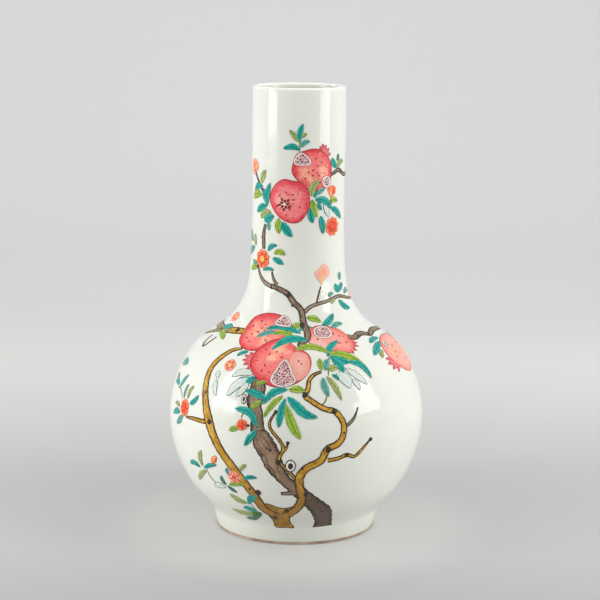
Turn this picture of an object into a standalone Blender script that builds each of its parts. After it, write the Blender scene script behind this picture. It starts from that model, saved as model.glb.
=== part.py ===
"""Globular porcelain vase with a tall neck and raised pomegranate enamels.

The potted body is thrown in sections that are luted together with slip, then
glazed outside, inside and under the base, and painted over the glaze.  Every
clay section, joint, glaze coat and enamel motif is a solid of its own.

Lengths are in millimetres and angles in degrees until a vertex is written.
A place on the outside is (azimuth, rise): the azimuth turns about +Z from the
front (-Y) towards +X, and the rise is measured up the surface from the foot.
"""
import math

import bmesh
import bpy
import numpy as np

MM = 0.001

# Turned shape: (height, radius) knots of smooth curves, bottom to top.
HEIGHT = 380.0
OUTSIDE = [
    (12.0, 70.7), (16.0, 71.6), (24.0, 77.0), (36.0, 88.0), (54.0, 99.2),
    (76.0, 106.7), (100.0, 109.2), (124.0, 105.6), (146.0, 96.7), (164.0, 82.4),
    (180.0, 59.9), (192.0, 50.3), (206.0, 43.8), (222.0, 41.0), (244.0, 39.6),
    (300.0, 39.2), (350.0, 39.6), (376.0, 39.4),
]
INSIDE = [
    (17.0, 0.0), (17.4, 36.0), (20.5, 59.0), (28.0, 72.5), (38.0, 82.5),
    (56.0, 93.6), (76.0, 100.2), (100.0, 102.8), (123.0, 99.4), (143.0, 91.0),
    (160.0, 77.8), (175.5, 56.6), (189.0, 45.6), (205.0, 38.9), (222.0, 36.3),
    (244.0, 35.0), (300.0, 34.7), (350.0, 35.1), (376.0, 34.9),
]
# Heights where the outside is sampled, closest where the waist is hollow.
OUTSIDE_HEIGHTS = [
    12.0, 15.0, 19.0, 25.0, 36.0, 54.0, 76.0, 100.0, 124.0, 146.0, 164.0, 177.0,
    184.0, 190.0, 197.0, 206.0, 216.0, 230.0, 250.0, 300.0, 376.0,
]
INSIDE_HEIGHTS = [
    17.4, 20.5, 30.0, 50.0, 76.0, 100.0, 123.0, 145.0, 163.0, 177.0, 189.0, 205.0,
    230.0, 376.0,
]
SIDES = 32

# Foot
FOOT_RADIUS = 68.5
FOOT_TOP_RADIUS = 70.4
FOOT_TOP_HEIGHT = 10.7
FOOT_INNER_RADIUS = 60.0
FOOT_CHAMFER = 1.0
FOOT_SETBACK = 0.7
BARE_EDGE = 2.4
BASE_CORNER = 1.0
BASE_CORNER_INSIDE = 1.2

# Wall make-up
GLAZE = 0.5
GAP = 0.3
SLIP = 0.8
BOWL_FLOOR = 10.0
WAIST_JOINT = 108.0
NECK_JOINT = 196.0
NECK_TOP = 375.5
# Angles round the lip, from outwards to upwards, on either side of its crown.
LIP_OUTSIDE_ANGLES = (30, 60, 86)
LIP_INSIDE_ANGLES = (94, 120, 150)

# Raised enamel
ENAMEL_LIFT = 0.6
ENAMEL = 0.3
NECK_RADIUS_LIMIT = 60.0
# Longest steps of an enamel mesh: (where the vase is narrow, where it is wide).
PATCH_STEPS = (7.5, 13.0)
BOUGH_STEPS = (7.0, 11.0)
FRUIT_SIDES = 16
SPRAY_SIDES = 18
LEAF_HALF_ANGLE = 0.22
TWIG_RADIUS = 2.2

GLAZE_ROUGHNESS = 0.08
ENAMEL_ROUGHNESS = 0.3
PASTE_ROUGHNESS = 0.8
BISCUIT_ROUGHNESS = 0.75

PORCELAIN = (0.86, 0.86, 0.81)
BISCUIT = (0.55, 0.40, 0.28)
WHITE_GLAZE = (0.84, 0.85, 0.78)
ROSE = (0.83, 0.22, 0.25)
CORAL = (0.92, 0.33, 0.16)
PEACH = (0.93, 0.58, 0.44)
TEAL = (0.03, 0.48, 0.44)
LEAF_GREEN = (0.52, 0.62, 0.12)
BROWN = (0.23, 0.17, 0.14)
OCHRE = (0.55, 0.37, 0.08)

# Pomegranates: name, (azimuth, rise), (half width, half height), tilt, colour.
POMEGRANATES = [
    ("pomegranate_neck_upper", (19.0, 342.5), (17.0, 10.5), 0.0, ROSE),
    ("pomegranate_neck_lower", (-9.5, 310.0), (18.0, 16.5), 0.0, ROSE),
    ("pomegranate_shoulder_left", (-30.0, 198.0), (18.0, 13.0), -12.0, ROSE),
    ("pomegranate_belly", (-12.0, 163.0), (24.0, 15.0), 0.0, ROSE),
    ("pomegranate_shoulder_right", (26.0, 187.0), (17.0, 12.0), -8.0, PEACH),
    ("pomegranate_far_right", (72.0, 166.0), (21.0, 18.0), -20.0, ROSE),
    ("pomegranate_back_left", (-143.0, 162.0), (22.0, 18.0), 15.0, ROSE),
    ("pomegranate_back_neck", (172.0, 300.0), (15.0, 14.0), 0.0, ROSE),
]

# Open blossoms and buds: name, (azimuth, rise), radius, petals.
BLOSSOMS = [
    ("blossom_neck_branch", (-47.0, 259.5), 6.5, 5),
    ("blossom_neck_right", (46.0, 287.5), 6.0, 5),
    ("bud_neck_right", (46.0, 317.0), 4.5, 3),
    ("bud_neck_left", (-70.0, 337.0), 5.0, 3),
    ("bud_waist", (31.0, 248.0), 6.0, 3),
    ("bud_shoulder_left", (-71.0, 206.0), 5.5, 3),
    ("blossom_left_side", (-60.5, 114.0), 7.0, 5),
    ("blossom_lower_left", (-33.5, 63.0), 6.5, 5),
    ("blossom_back_belly", (150.0, 120.0), 8.0, 5),
]

# Leaf sprays: name, (azimuth, rise), [(angle, length), ...], colour.  The angle
# turns anticlockwise from a level leaf that points right.
SPRAYS = [
    ("leaves_neck_top", (1.0, 361.0), [(80, 12), (160, 12), (25, 9), (215, 10)], LEAF_GREEN),
    ("leaves_neck_right", (25.0, 309.0), [(15, 8), (-20, 12), (-75, 10)], TEAL),
    ("leaves_neck_left", (-48.0, 308.0), [(150, 12), (175, 12), (200, 10), (-60, 8)], TEAL),
    ("leaves_neck_under", (-20.0, 284.0), [(-20, 11), (170, 8), (75, 5)], TEAL),
    ("leaves_neck_stem", (-31.0, 267.0), [(30, 9), (-5, 13), (-35, 8)], LEAF_GREEN),
    ("leaves_waist_right", (57.0, 234.0), [(20, 8), (165, 7), (60, 6)], TEAL),
    ("leaves_shoulder_middle", (0.0, 192.0), [(95, 11), (170, 9), (200, 9)], TEAL),
    ("leaves_shoulder_right", (19.0, 163.0), [(-12, 26), (-40, 20), (190, 8)], TEAL),
    ("leaves_belly", (-5.0, 137.0), [(-35, 22), (-75, 18), (200, 16), (235, 14)], TEAL),
    ("leaves_left_side", (-60.0, 131.0), [(70, 9), (20, 8), (120, 9)], LEAF_GREEN),
    ("leaves_left_edge", (-74.0, 136.0), [(60, 14), (140, 12), (-20, 10)], TEAL),
    ("leaves_lower_left", (-46.0, 67.0), [(90, 12), (180, 14), (235, 14)], LEAF_GREEN),
    ("leaves_foot_left", (-27.0, 22.0), [(120, 12), (170, 16), (200, 12)], TEAL),
    ("leaves_back_shoulder", (115.0, 178.0), [(10, 16), (60, 14), (200, 16), (300, 14)], TEAL),
    ("leaves_back_belly", (150.0, 141.0), [(20, 20), (70, 16), (150, 18)], LEAF_GREEN),
    ("leaves_back_neck", (172.0, 276.0), [(-30, 12), (-90, 12), (210, 12)], TEAL),
]

# Boughs: name, (width at the start, width at the end), path, colour.
BOUGHS = [
    ("trunk", (15.0, 9.0), [(18, 11), (13, 26), (6, 45), (-3, 66), (-12, 90), (-19, 116),
                            (-21, 134)], BROWN),
    ("bough_left", (16.0, 7.0), [(-9, 11), (-13, 28), (-20, 50), (-29, 75), (-39, 102),
                                 (-46, 130), (-47, 155), (-40, 176)], OCHRE),
    ("bough_right", (7.0, 4.0), [(4, 74), (13, 85), (20, 101), (22, 114), (13, 125), (5, 137),
                                 (9, 150)], OCHRE),
    ("branch_waist", (6.0, 4.5), [(6, 212), (1, 223), (-9, 231), (-18, 236), (-34, 240),
                                  (-48, 246)], BROWN),
    ("branch_right", (6.0, 5.0), [(45, 188), (60, 190), (80, 189), (96, 184)], BROWN),
    ("branch_left", (7.0, 6.0), [(-53, 193), (-70, 191), (-90, 190), (-115, 186), (-128, 178)],
     OCHRE),
    ("branch_back", (6.0, 5.0), [(129, 178), (150, 172), (172, 172), (198, 166)], BROWN),
]


def smooth_curve(knots, count):
    """Return count points on the natural cubic spline through the knots."""
    knots = np.array(knots, dtype=float)
    steps = np.hypot(*np.diff(knots, axis=0).T)
    at = np.concatenate([[0.0], np.cumsum(steps)])
    last = len(knots) - 1
    matrix = np.zeros((last + 1, last + 1))
    right = np.zeros((last + 1, 2))
    matrix[0, 0] = 1.0
    matrix[last, last] = 1.0
    for i in range(1, last):
        matrix[i, i - 1] = steps[i - 1]
        matrix[i, i] = 2.0 * (steps[i - 1] + steps[i])
        matrix[i, i + 1] = steps[i]
        slope_after = (knots[i + 1] - knots[i]) / steps[i]
        slope_before = (knots[i] - knots[i - 1]) / steps[i - 1]
        right[i] = 6.0 * (slope_after - slope_before)
    bend = np.linalg.solve(matrix, right)
    points = []
    for t in np.linspace(0.0, at[-1], count):
        i = min(int(np.searchsorted(at, t, side="right")) - 1, last - 1)
        a = (at[i + 1] - t) / steps[i]
        b = 1.0 - a
        cubic = ((a**3 - a) * bend[i] + (b**3 - b) * bend[i + 1]) * steps[i] ** 2 / 6.0
        points.append(a * knots[i] + b * knots[i + 1] + cubic)
    return np.array(points)


FINE_OUTSIDE = smooth_curve(OUTSIDE, 1500)
FINE_INSIDE = smooth_curve(INSIDE, 1500)
RISE = np.concatenate([[0.0], np.cumsum(np.hypot(*np.diff(FINE_OUTSIDE, axis=0).T))])


def offset(curve, distance):
    """Shift a (height, radius) curve outwards by a distance along its normals."""
    slope = np.gradient(curve, axis=0)
    slope /= np.linalg.norm(slope, axis=1)[:, None]
    normal = np.column_stack([-slope[:, 1], slope[:, 0]])
    return curve + distance * normal


def sampled(curve, heights, distance):
    """Return (height, radius) points of an offset curve for sample heights of the curve."""
    shifted = offset(curve, distance)
    index = [int(np.argmin(np.abs(curve[:, 0] - height))) for height in heights]
    return [tuple(shifted[i]) for i in index]


def outside_at(distance):
    """Return the outside from the foot up, shifted by a distance."""
    return sampled(FINE_OUTSIDE, OUTSIDE_HEIGHTS, distance)


def inside_at(distance):
    """Return the inside wall from the floor up, shifted by a distance."""
    return sampled(FINE_INSIDE, INSIDE_HEIGHTS, distance)


def cut(points, low, high):
    """Keep the part of a bottom-to-top chain between two heights."""
    heights = [height for height, _ in points]
    radii = [radius for _, radius in points]
    kept = [(h, r) for h, r in points if low < h < high]
    ends = [(h, float(np.interp(h, heights, radii))) for h in (low, high)]
    if low > heights[0]:
        kept.insert(0, ends[0])
    if high < heights[-1]:
        kept.append(ends[1])
    return kept


def make_material(name, colour, roughness):
    """Make a plain Principled material."""
    material = bpy.data.materials.new(name)
    material.use_nodes = True
    shader = material.node_tree.nodes["Principled BSDF"]
    shader.inputs["Base Color"].default_value = (*colour, 1.0)
    shader.inputs["Roughness"].default_value = roughness
    shader.inputs["Metallic"].default_value = 0.0
    return material


def link_part(mesh, name, colour, roughness):
    """Put a mesh in the vase's collection under its node name."""
    part = bpy.data.objects.new(name, mesh)
    bpy.data.collections["porcelain_vase"].objects.link(part)
    mesh.materials.append(make_material(name, colour, roughness))
    return part


def turned(name, profile, closed, colour, roughness):
    """Turn a (height, radius) profile that runs down its outer side."""
    build = bmesh.new()
    corners = [build.verts.new((radius * MM, 0.0, height * MM)) for height, radius in profile]
    for first, second in zip(corners, corners[1:]):
        build.edges.new((first, second))
    if closed:
        build.edges.new((corners[-1], corners[0]))
    mesh = bpy.data.meshes.new(name)
    build.to_mesh(mesh)
    build.free()
    part = link_part(mesh, name, colour, roughness)
    screw = part.modifiers.new("turn", "SCREW")
    screw.axis = "Z"
    screw.steps = SIDES
    screw.render_steps = SIDES
    screw.use_merge_vertices = True
    screw.merge_threshold = 0.00001
    screw.use_smooth_shade = True
    return part


def on_surface(azimuth, rise, lift):
    """Return the point over a place on the outside, in metres."""
    slope = np.gradient(FINE_OUTSIDE, axis=0)
    slope /= np.linalg.norm(slope, axis=1)[:, None]
    height, radius = [float(np.interp(rise, RISE, FINE_OUTSIDE[:, k])) for k in (0, 1)]
    up, out = [float(np.interp(rise, RISE, slope[:, k])) for k in (0, 1)]
    radius += lift * up
    height -= lift * out
    turn = math.radians(azimuth)
    return (radius * math.sin(turn) * MM, -radius * math.cos(turn) * MM, height * MM)


def radius_at(rise):
    """Return the outside radius at a rise."""
    return float(np.interp(rise, RISE, FINE_OUTSIDE[:, 1]))


def beside(place, across, up):
    """Return the place that lies some millimetres to the right of and above another."""
    azimuth, rise = place
    return azimuth + math.degrees(across / radius_at(rise + up)), rise + up


def raise_enamel(name, build, colour):
    """Finish a sheet that lies over the glaze as a thin closed coat of enamel."""
    bmesh.ops.recalc_face_normals(build, faces=build.faces)
    face = max(build.faces, key=lambda f: f.calc_area())
    outward = face.calc_center_median()
    outward.z = 0.0
    if face.normal.dot(outward) < 0.0:
        bmesh.ops.reverse_faces(build, faces=build.faces)
    mesh = bpy.data.meshes.new(name)
    build.to_mesh(mesh)
    build.free()
    part = link_part(mesh, name, colour, ENAMEL_ROUGHNESS)
    coat = part.modifiers.new("coat", "SOLIDIFY")
    coat.thickness = ENAMEL * MM
    coat.offset = 1.0
    return part


def enamel_patch(name, place, reach, sides, colour):
    """Lay a star-shaped patch over the glaze; reach(angle) is its half width there."""
    longest = max(reach(2.0 * math.pi * i / sides) for i in range(sides))
    step = PATCH_STEPS[radius_at(place[1]) > NECK_RADIUS_LIMIT]
    rings = max(1, math.ceil(longest / step))
    build = bmesh.new()
    spokes = [build.verts.new((i / rings, 0.0, 0.0)) for i in range(rings + 1)]
    chain = [build.edges.new(pair) for pair in zip(spokes, spokes[1:])]
    bmesh.ops.spin(build, geom=spokes + chain, cent=(0, 0, 0), axis=(0, 0, 1),
                   angle=2.0 * math.pi, steps=sides, use_merge=True)
    bmesh.ops.remove_doubles(build, verts=build.verts, dist=0.0001)
    for vertex in build.verts:
        angle = math.atan2(vertex.co.y, vertex.co.x)
        share = math.hypot(vertex.co.x, vertex.co.y)
        along = share * reach(angle)
        spot = beside(place, along * math.cos(angle), along * math.sin(angle))
        vertex.co = on_surface(*spot, ENAMEL_LIFT)
    return raise_enamel(name, build, colour)


def pomegranate(name, place, halves, tilt, colour):
    """Lay the round body of a fruit."""
    half_width, half_height = halves
    turn = math.radians(tilt)

    def reach(angle):
        across = math.cos(angle - turn) / half_width
        along = math.sin(angle - turn) / half_height
        return 1.0 / math.hypot(across, along)

    return enamel_patch(name, place, reach, FRUIT_SIDES, colour)


def blossom(name, place, radius, petals):
    """Lay a flower whose petals are rounded lobes."""
    def reach(angle):
        return radius * (0.8 + 0.2 * math.cos(petals * angle))

    return enamel_patch(name, place, reach, 3 * petals, CORAL)


def leaf_spray(name, place, leaves, colour):
    """Lay leaves that spread from one point of a twig."""
    def reach(angle):
        widest = TWIG_RADIUS
        for leaf_angle, length in leaves:
            apart = math.remainder(angle - math.radians(leaf_angle), 2.0 * math.pi)
            widest = max(widest, length * math.exp(-(apart / LEAF_HALF_ANGLE) ** 2))
        return widest

    return enamel_patch(name, place, reach, SPRAY_SIDES, colour)


def bough(name, widths, path, colour):
    """Lay a branch that tapers along a smooth path."""
    length = sum(
        math.hypot(math.radians(b[0] - a[0]) * radius_at(a[1]), b[1] - a[1])
        for a, b in zip(path, path[1:])
    )
    step = BOUGH_STEPS[radius_at(path[-1][1]) > NECK_RADIUS_LIMIT]
    count = math.ceil(length / step)
    line = smooth_curve(path, count + 1)
    build = bmesh.new()
    bmesh.ops.create_grid(build, x_segments=count, y_segments=1, size=0.5)
    for vertex in build.verts:
        share = vertex.co.x + 0.5
        side = 1.0 if vertex.co.y > 0.0 else -1.0
        i = round(share * count)
        before = line[max(i - 1, 0)]
        after = line[min(i + 1, count)]
        run = math.radians(after[0] - before[0]) * radius_at(line[i][1])
        climb = after[1] - before[1]
        half = 0.5 * (widths[0] + (widths[1] - widths[0]) * share) * side
        stride = math.hypot(run, climb)
        spot = beside(tuple(line[i]), -climb / stride * half, run / stride * half)
        vertex.co = on_surface(*spot, ENAMEL_LIFT)
    return raise_enamel(name, build, colour)


def foot_outside(distance):
    """Return the foot's outer side, bottom to top, shifted inwards."""
    return [
        (BARE_EDGE, FOOT_RADIUS - distance),
        (FOOT_TOP_HEIGHT, FOOT_TOP_RADIUS - distance),
    ]


def lip(inset, side):
    """Return the rounded lip from the outer side to the crown, or on to the inside."""
    outer = OUTSIDE[-1][1]
    inner = INSIDE[-1][1]
    middle = 0.5 * (outer + inner)
    round_radius = 0.5 * (outer - inner) - inset
    centre = HEIGHT - 0.5 * (outer - inner)
    angles = LIP_OUTSIDE_ANGLES if side == "outside" else LIP_INSIDE_ANGLES
    return [
        (centre + round_radius * math.sin(math.radians(a)),
         middle + round_radius * math.cos(math.radians(a)))
        for a in angles
    ]


def build_glazes():
    """Make the three coats of glaze."""
    outer = foot_outside(0.0) + outside_at(0.0) + lip(0.0, "outside")
    under = foot_outside(GLAZE) + outside_at(-GLAZE) + lip(GLAZE, "outside")
    turned("outer_glaze", outer[::-1] + under, True, WHITE_GLAZE, GLAZE_ROUGHNESS)

    seen = [(INSIDE[0][0], 0.0)] + inside_at(0.0) + lip(0.0, "inside")[::-1]
    under = [(INSIDE[0][0] - GLAZE, 0.0)] + inside_at(GLAZE) + lip(GLAZE, "inside")[::-1]
    turned("inner_glaze", seen + under[::-1], False, WHITE_GLAZE, GLAZE_ROUGHNESS)

    ceiling = BOWL_FLOOR - GAP
    inner = FOOT_INNER_RADIUS - GAP
    turned("base_glaze", [
        (ceiling, 0.0),
        (ceiling, inner - BASE_CORNER),
        (ceiling - BASE_CORNER, inner),
        (BARE_EDGE, inner),
        (BARE_EDGE, inner - GLAZE),
        (ceiling - BASE_CORNER_INSIDE, inner - GLAZE),
        (ceiling - GLAZE, inner - BASE_CORNER_INSIDE),
        (ceiling - GLAZE, 0.0),
    ], False, WHITE_GLAZE, GLAZE_ROUGHNESS)


def build_clay():
    """Make the potted sections and the slip that joins them."""
    inset = GLAZE + GAP
    outer = outside_at(-inset)
    inner = [(INSIDE[0][0] - inset, 0.0)] + inside_at(inset)
    foot_top = BOWL_FLOOR - SLIP - 2.0 * GAP
    foot = [
        (foot_top, FOOT_TOP_RADIUS - inset - FOOT_SETBACK),
        (BARE_EDGE, FOOT_RADIUS - inset),
        (0.0, FOOT_RADIUS - inset - FOOT_CHAMFER),
        (0.0, FOOT_INNER_RADIUS + FOOT_CHAMFER),
        (BARE_EDGE, FOOT_INNER_RADIUS),
        (foot_top, FOOT_INNER_RADIUS),
    ]
    turned("foot_ring", foot, True, BISCUIT, BISCUIT_ROUGHNESS)
    slip_low = foot_top + GAP
    turned("foot_slip_joint", [
        (slip_low + SLIP, FOOT_TOP_RADIUS - inset - FOOT_SETBACK),
        (slip_low, FOOT_TOP_RADIUS - inset - FOOT_SETBACK),
        (slip_low, FOOT_INNER_RADIUS + FOOT_CHAMFER),
        (slip_low + SLIP, FOOT_INNER_RADIUS + FOOT_CHAMFER),
    ], True, PORCELAIN, PASTE_ROUGHNESS)

    half_joint = 0.5 * SLIP + GAP
    bowl_outer = [(BOWL_FLOOR, FOOT_TOP_RADIUS - inset - FOOT_SETBACK)] + outer
    bowl = cut(inner, 0.0, WAIST_JOINT - half_joint)
    bowl += cut(bowl_outer, 0.0, WAIST_JOINT - half_joint)[::-1]
    turned("lower_bowl", bowl + [(BOWL_FLOOR, 0.0)], False, PORCELAIN, PASTE_ROUGHNESS)

    def ring(name, low, high):
        loop = cut(outer, low, high)[::-1] + cut(inner[2:], low, high)
        turned(name, loop, True, PORCELAIN, PASTE_ROUGHNESS)

    ring("waist_slip_joint", WAIST_JOINT - 0.5 * SLIP, WAIST_JOINT + 0.5 * SLIP)
    ring("shoulder_dome", WAIST_JOINT + half_joint, NECK_JOINT - half_joint)
    ring("neck_slip_joint", NECK_JOINT - 0.5 * SLIP, NECK_JOINT + 0.5 * SLIP)
    ring("neck_tube", NECK_JOINT + half_joint, NECK_TOP)


def build_enamels():
    """Lay every painted motif over the glaze."""
    for motif in POMEGRANATES:
        pomegranate(*motif)
    for motif in BLOSSOMS:
        blossom(*motif)
    for motif in SPRAYS:
        leaf_spray(*motif)
    for motif in BOUGHS:
        bough(*motif)


def main():
    """Clear the scene and build the vase."""
    for old in list(bpy.data.objects):
        bpy.data.objects.remove(old, do_unlink=True)
    vase = bpy.data.collections.new("porcelain_vase")
    bpy.context.scene.collection.children.link(vase)
    build_clay()
    build_glazes()
    build_enamels()


main()
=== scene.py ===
"""Looks of the porcelain vase: glaze, raised enamel painting, studio light and camera.

A place on the outside is (azimuth, rise): degrees about +Z from the front (-Y) towards +X,
and millimetres up the surface from the groove above the foot.  Every painted stroke is a thin
raised mesh that follows the turned surface, and carries these attributes for its material:
flat (millimetres along and across, and a number that differs from stroke to stroke),
rim (millimetres to the stroke's edge), share (0 to 1 from its base), side (-1 to 1 across)
and glow (0 to 1, where a fruit is ripe, and one spot of painted highlight on the upper neck fruit).
"""
import math

import bmesh
import bpy
import numpy as np
from mathutils import Matrix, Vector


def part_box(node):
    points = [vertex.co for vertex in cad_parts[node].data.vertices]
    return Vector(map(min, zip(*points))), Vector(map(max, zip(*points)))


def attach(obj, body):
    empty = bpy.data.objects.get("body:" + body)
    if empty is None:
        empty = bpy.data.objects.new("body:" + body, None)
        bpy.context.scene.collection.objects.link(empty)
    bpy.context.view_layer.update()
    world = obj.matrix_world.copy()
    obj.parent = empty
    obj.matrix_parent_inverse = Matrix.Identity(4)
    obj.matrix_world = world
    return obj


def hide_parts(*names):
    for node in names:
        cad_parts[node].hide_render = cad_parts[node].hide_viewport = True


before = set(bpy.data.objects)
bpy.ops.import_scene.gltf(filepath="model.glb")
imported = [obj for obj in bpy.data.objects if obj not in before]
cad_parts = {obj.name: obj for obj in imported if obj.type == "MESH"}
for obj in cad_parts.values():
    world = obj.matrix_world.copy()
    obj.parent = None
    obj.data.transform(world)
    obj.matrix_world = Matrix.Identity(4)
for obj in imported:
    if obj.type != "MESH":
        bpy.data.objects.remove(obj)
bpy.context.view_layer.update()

MM = 0.001
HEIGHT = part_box("outer_glaze")[1][2] / MM

# Turned shape: (height, radius) knots of smooth curves, bottom to top.
OUTSIDE = [
    (12.0, 70.7), (16.0, 71.6), (24.0, 77.0), (36.0, 88.0), (54.0, 99.2),
    (76.0, 106.7), (100.0, 109.2), (124.0, 105.6), (146.0, 96.7), (164.0, 82.4),
    (180.0, 59.9), (192.0, 50.3), (206.0, 43.8), (222.0, 41.0), (244.0, 39.6),
    (300.0, 39.2), (350.0, 39.6), (376.0, 39.4),
]
INSIDE = [
    (17.0, 0.0), (17.4, 36.0), (20.5, 59.0), (28.0, 72.5), (38.0, 82.5),
    (56.0, 93.6), (76.0, 100.2), (100.0, 102.8), (123.0, 99.4), (143.0, 91.0),
    (160.0, 77.8), (175.5, 56.6), (189.0, 45.6), (205.0, 38.9), (222.0, 36.3),
    (244.0, 35.0), (300.0, 34.7), (350.0, 35.1), (376.0, 34.9),
]
FOOT_RADIUS = 68.5
FOOT_BAND = [(9.0, 70.0), (14.4, 71.2), (15.2, 71.33), (15.8, 71.38)]
BAND_TOP = 16.0
FOOT_INNER_RADIUS = 60.0
# The bare edge of the foot: its height, its setback, its rounded corners and its hidden top
BARE_EDGE = 2.4
BARE_SETBACK = 0.8
OUTER_CORNER = 0.55
INNER_CORNER = 0.5
BARE_TOP = 8.6
BASE_CEILING = 9.7
BASE_GAP = 0.3
BASE_CORNER = 2.0
GLAZE = 0.5
LIP_ANGLES = (12, 168)
TURNS = 256

# Enamel relief: how high the first coat and each later one stand, how far a stroke is crowned,
# and where its skirt ends, under the glaze
FIRST_LIFT = 0.05
LAYER_LIFT = 0.10
CROWN = 0.07
SUNK = -0.05

# How far apart the points of a stroke are on the slim neck, which starts at a rise, and below it
NECK_RISE = 215.0
NECK_SPACING = 1.0
STROKE_SPACING = 1.4
SHAPE_SPACING = 1.3
SAME_POINT = 1e-7

# Brushwork: how unsteady a stroke's width is, how far apart the textures of two strokes lie,
# a leaf's width against the one in its row, and the layers from one leaf to the next
BRUSH_WOBBLE = 0.04
SEED_STEP = 7.31
LEAF_FULLNESS = 1.14
LEAF_STEP = 0.35
STALK_WIDTH = 1.6
VEIN_WIDTH = 0.8
KNOT_LAYER = 4.5
RINGED_KNOT = 1.3
# Specks and seeds on a fruit, as cells a millimetre
SPECK_DENSITY = 0.26
SEED_DENSITY = 0.52


def smooth_curve(knots, count):
    """Return count points on the natural cubic spline through the knots."""
    knots = np.array(knots, dtype=float)
    steps = np.linalg.norm(np.diff(knots, axis=0), axis=1)
    at = np.concatenate([[0.0], np.cumsum(steps)])
    last = len(knots) - 1
    matrix = np.zeros((last + 1, last + 1))
    right = np.zeros((last + 1, knots.shape[1]))
    matrix[0, 0] = 1.0
    matrix[last, last] = 1.0
    for i in range(1, last):
        matrix[i, i - 1] = steps[i - 1]
        matrix[i, i] = 2.0 * (steps[i - 1] + steps[i])
        matrix[i, i + 1] = steps[i]
        slope_after = (knots[i + 1] - knots[i]) / steps[i]
        slope_before = (knots[i] - knots[i - 1]) / steps[i - 1]
        right[i] = 6.0 * (slope_after - slope_before)
    bend = np.linalg.solve(matrix, right)
    t = np.linspace(0.0, at[-1], count)
    i = np.clip(np.searchsorted(at, t, side="right") - 1, 0, last - 1)
    a = ((at[i + 1] - t) / steps[i])[:, None]
    b = 1.0 - a
    cubic = ((a**3 - a) * bend[i] + (b**3 - b) * bend[i + 1]) * (steps[i] ** 2)[:, None] / 6.0
    return a * knots[i] + b * knots[i + 1] + cubic


FINE = smooth_curve(OUTSIDE, 3000)
RISE = np.concatenate([[0.0], np.cumsum(np.linalg.norm(np.diff(FINE, axis=0), axis=1))])
SLOPE = np.gradient(FINE, axis=0)
SLOPE /= np.linalg.norm(SLOPE, axis=1)[:, None]


def radius_at(rise):
    """Return the outside radius at a rise."""
    return np.interp(rise, RISE, FINE[:, 1])


def on_surface(azimuth, rise, lift):
    """Return points over places on the outside, in metres."""
    height, radius = [np.interp(rise, RISE, FINE[:, k]) for k in (0, 1)]
    up, out = [np.interp(rise, RISE, SLOPE[:, k]) for k in (0, 1)]
    radius = radius + lift * up
    height = height - lift * out
    turn = np.radians(azimuth)
    return np.stack([radius * np.sin(turn), -radius * np.cos(turn), height], axis=-1) * MM


def beside(azimuth, rise, across, up):
    """Return places that lie some millimetres to the right of and above a place."""
    rise = rise + up
    return azimuth + np.degrees(across / radius_at(rise)), rise


def add_object(name, data):
    """Put an object in the scene, and return it."""
    made = bpy.data.objects.new(name, data)
    bpy.context.scene.collection.objects.link(made)
    return made


def add_piece(name, mesh, nodes):
    """Put a smooth piece in the scene that stands for some CAD nodes."""
    mesh.shade_smooth()
    piece = add_object(name, mesh)
    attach(piece, "root")
    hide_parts(*nodes)


class Painting:
    """Raised strokes that are gathered into the one mesh that stands for a CAD node."""

    def __init__(self, node, slot):
        self.name = "painted_" + node
        self.slot = slot
        self.node = node
        self.points = []
        self.faces = []
        self.marks = {"flat": [], "rim": [], "share": [], "side": [], "glow": []}
        self.materials = []
        self.face_materials = []
        self.size = 0

    def lay(self, azimuth, rise, lift, marks, material, wrap):
        """Add a grid of places; wrap joins its last column to its first."""
        rows, columns = azimuth.shape
        self.points.append(on_surface(azimuth, rise, lift).reshape(-1, 3))
        for key, store in self.marks.items():
            width = (rows, columns, 3) if key == "flat" else (rows, columns)
            values = np.broadcast_to(np.asarray(marks.get(key, 0.0), dtype=float), width)
            store.append(values.reshape(rows * columns, -1))
        if material not in self.materials:
            self.materials.append(material)
        last = columns if wrap else columns - 1
        row, column = np.meshgrid(np.arange(rows - 1), np.arange(last), indexing="ij")
        after = (column + 1) % columns
        quads = np.stack([
            row * columns + column, row * columns + after,
            (row + 1) * columns + after, (row + 1) * columns + column,
        ], axis=-1).reshape(-1, 4)
        self.faces.extend((quads + self.size).tolist())
        self.face_materials += [self.materials.index(material)] * len(quads)
        self.size += rows * columns

    def finish(self):
        """Make the piece."""
        mesh = bpy.data.meshes.new(self.name)
        mesh.from_pydata(np.concatenate(self.points).tolist(), [], self.faces)
        for material in self.materials:
            mesh.materials.append(material)
        mesh.polygons.foreach_set("material_index", self.face_materials)
        for key, values in self.marks.items():
            kind = "FLOAT_VECTOR" if key == "flat" else "FLOAT"
            store = mesh.attributes.new(key, kind, "POINT")
            data = np.concatenate(values).ravel()
            store.data.foreach_set("vector" if key == "flat" else "value", data)
        build = bmesh.new()
        build.from_mesh(mesh)
        bmesh.ops.remove_doubles(build, verts=build.verts, dist=SAME_POINT)
        build.to_mesh(mesh)
        build.free()
        add_piece(self.name, mesh, [self.node])


def base_lift(layer):
    """Return how high the edge of a stroke stands for its layer."""
    return FIRST_LIFT + LAYER_LIFT * layer


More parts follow.
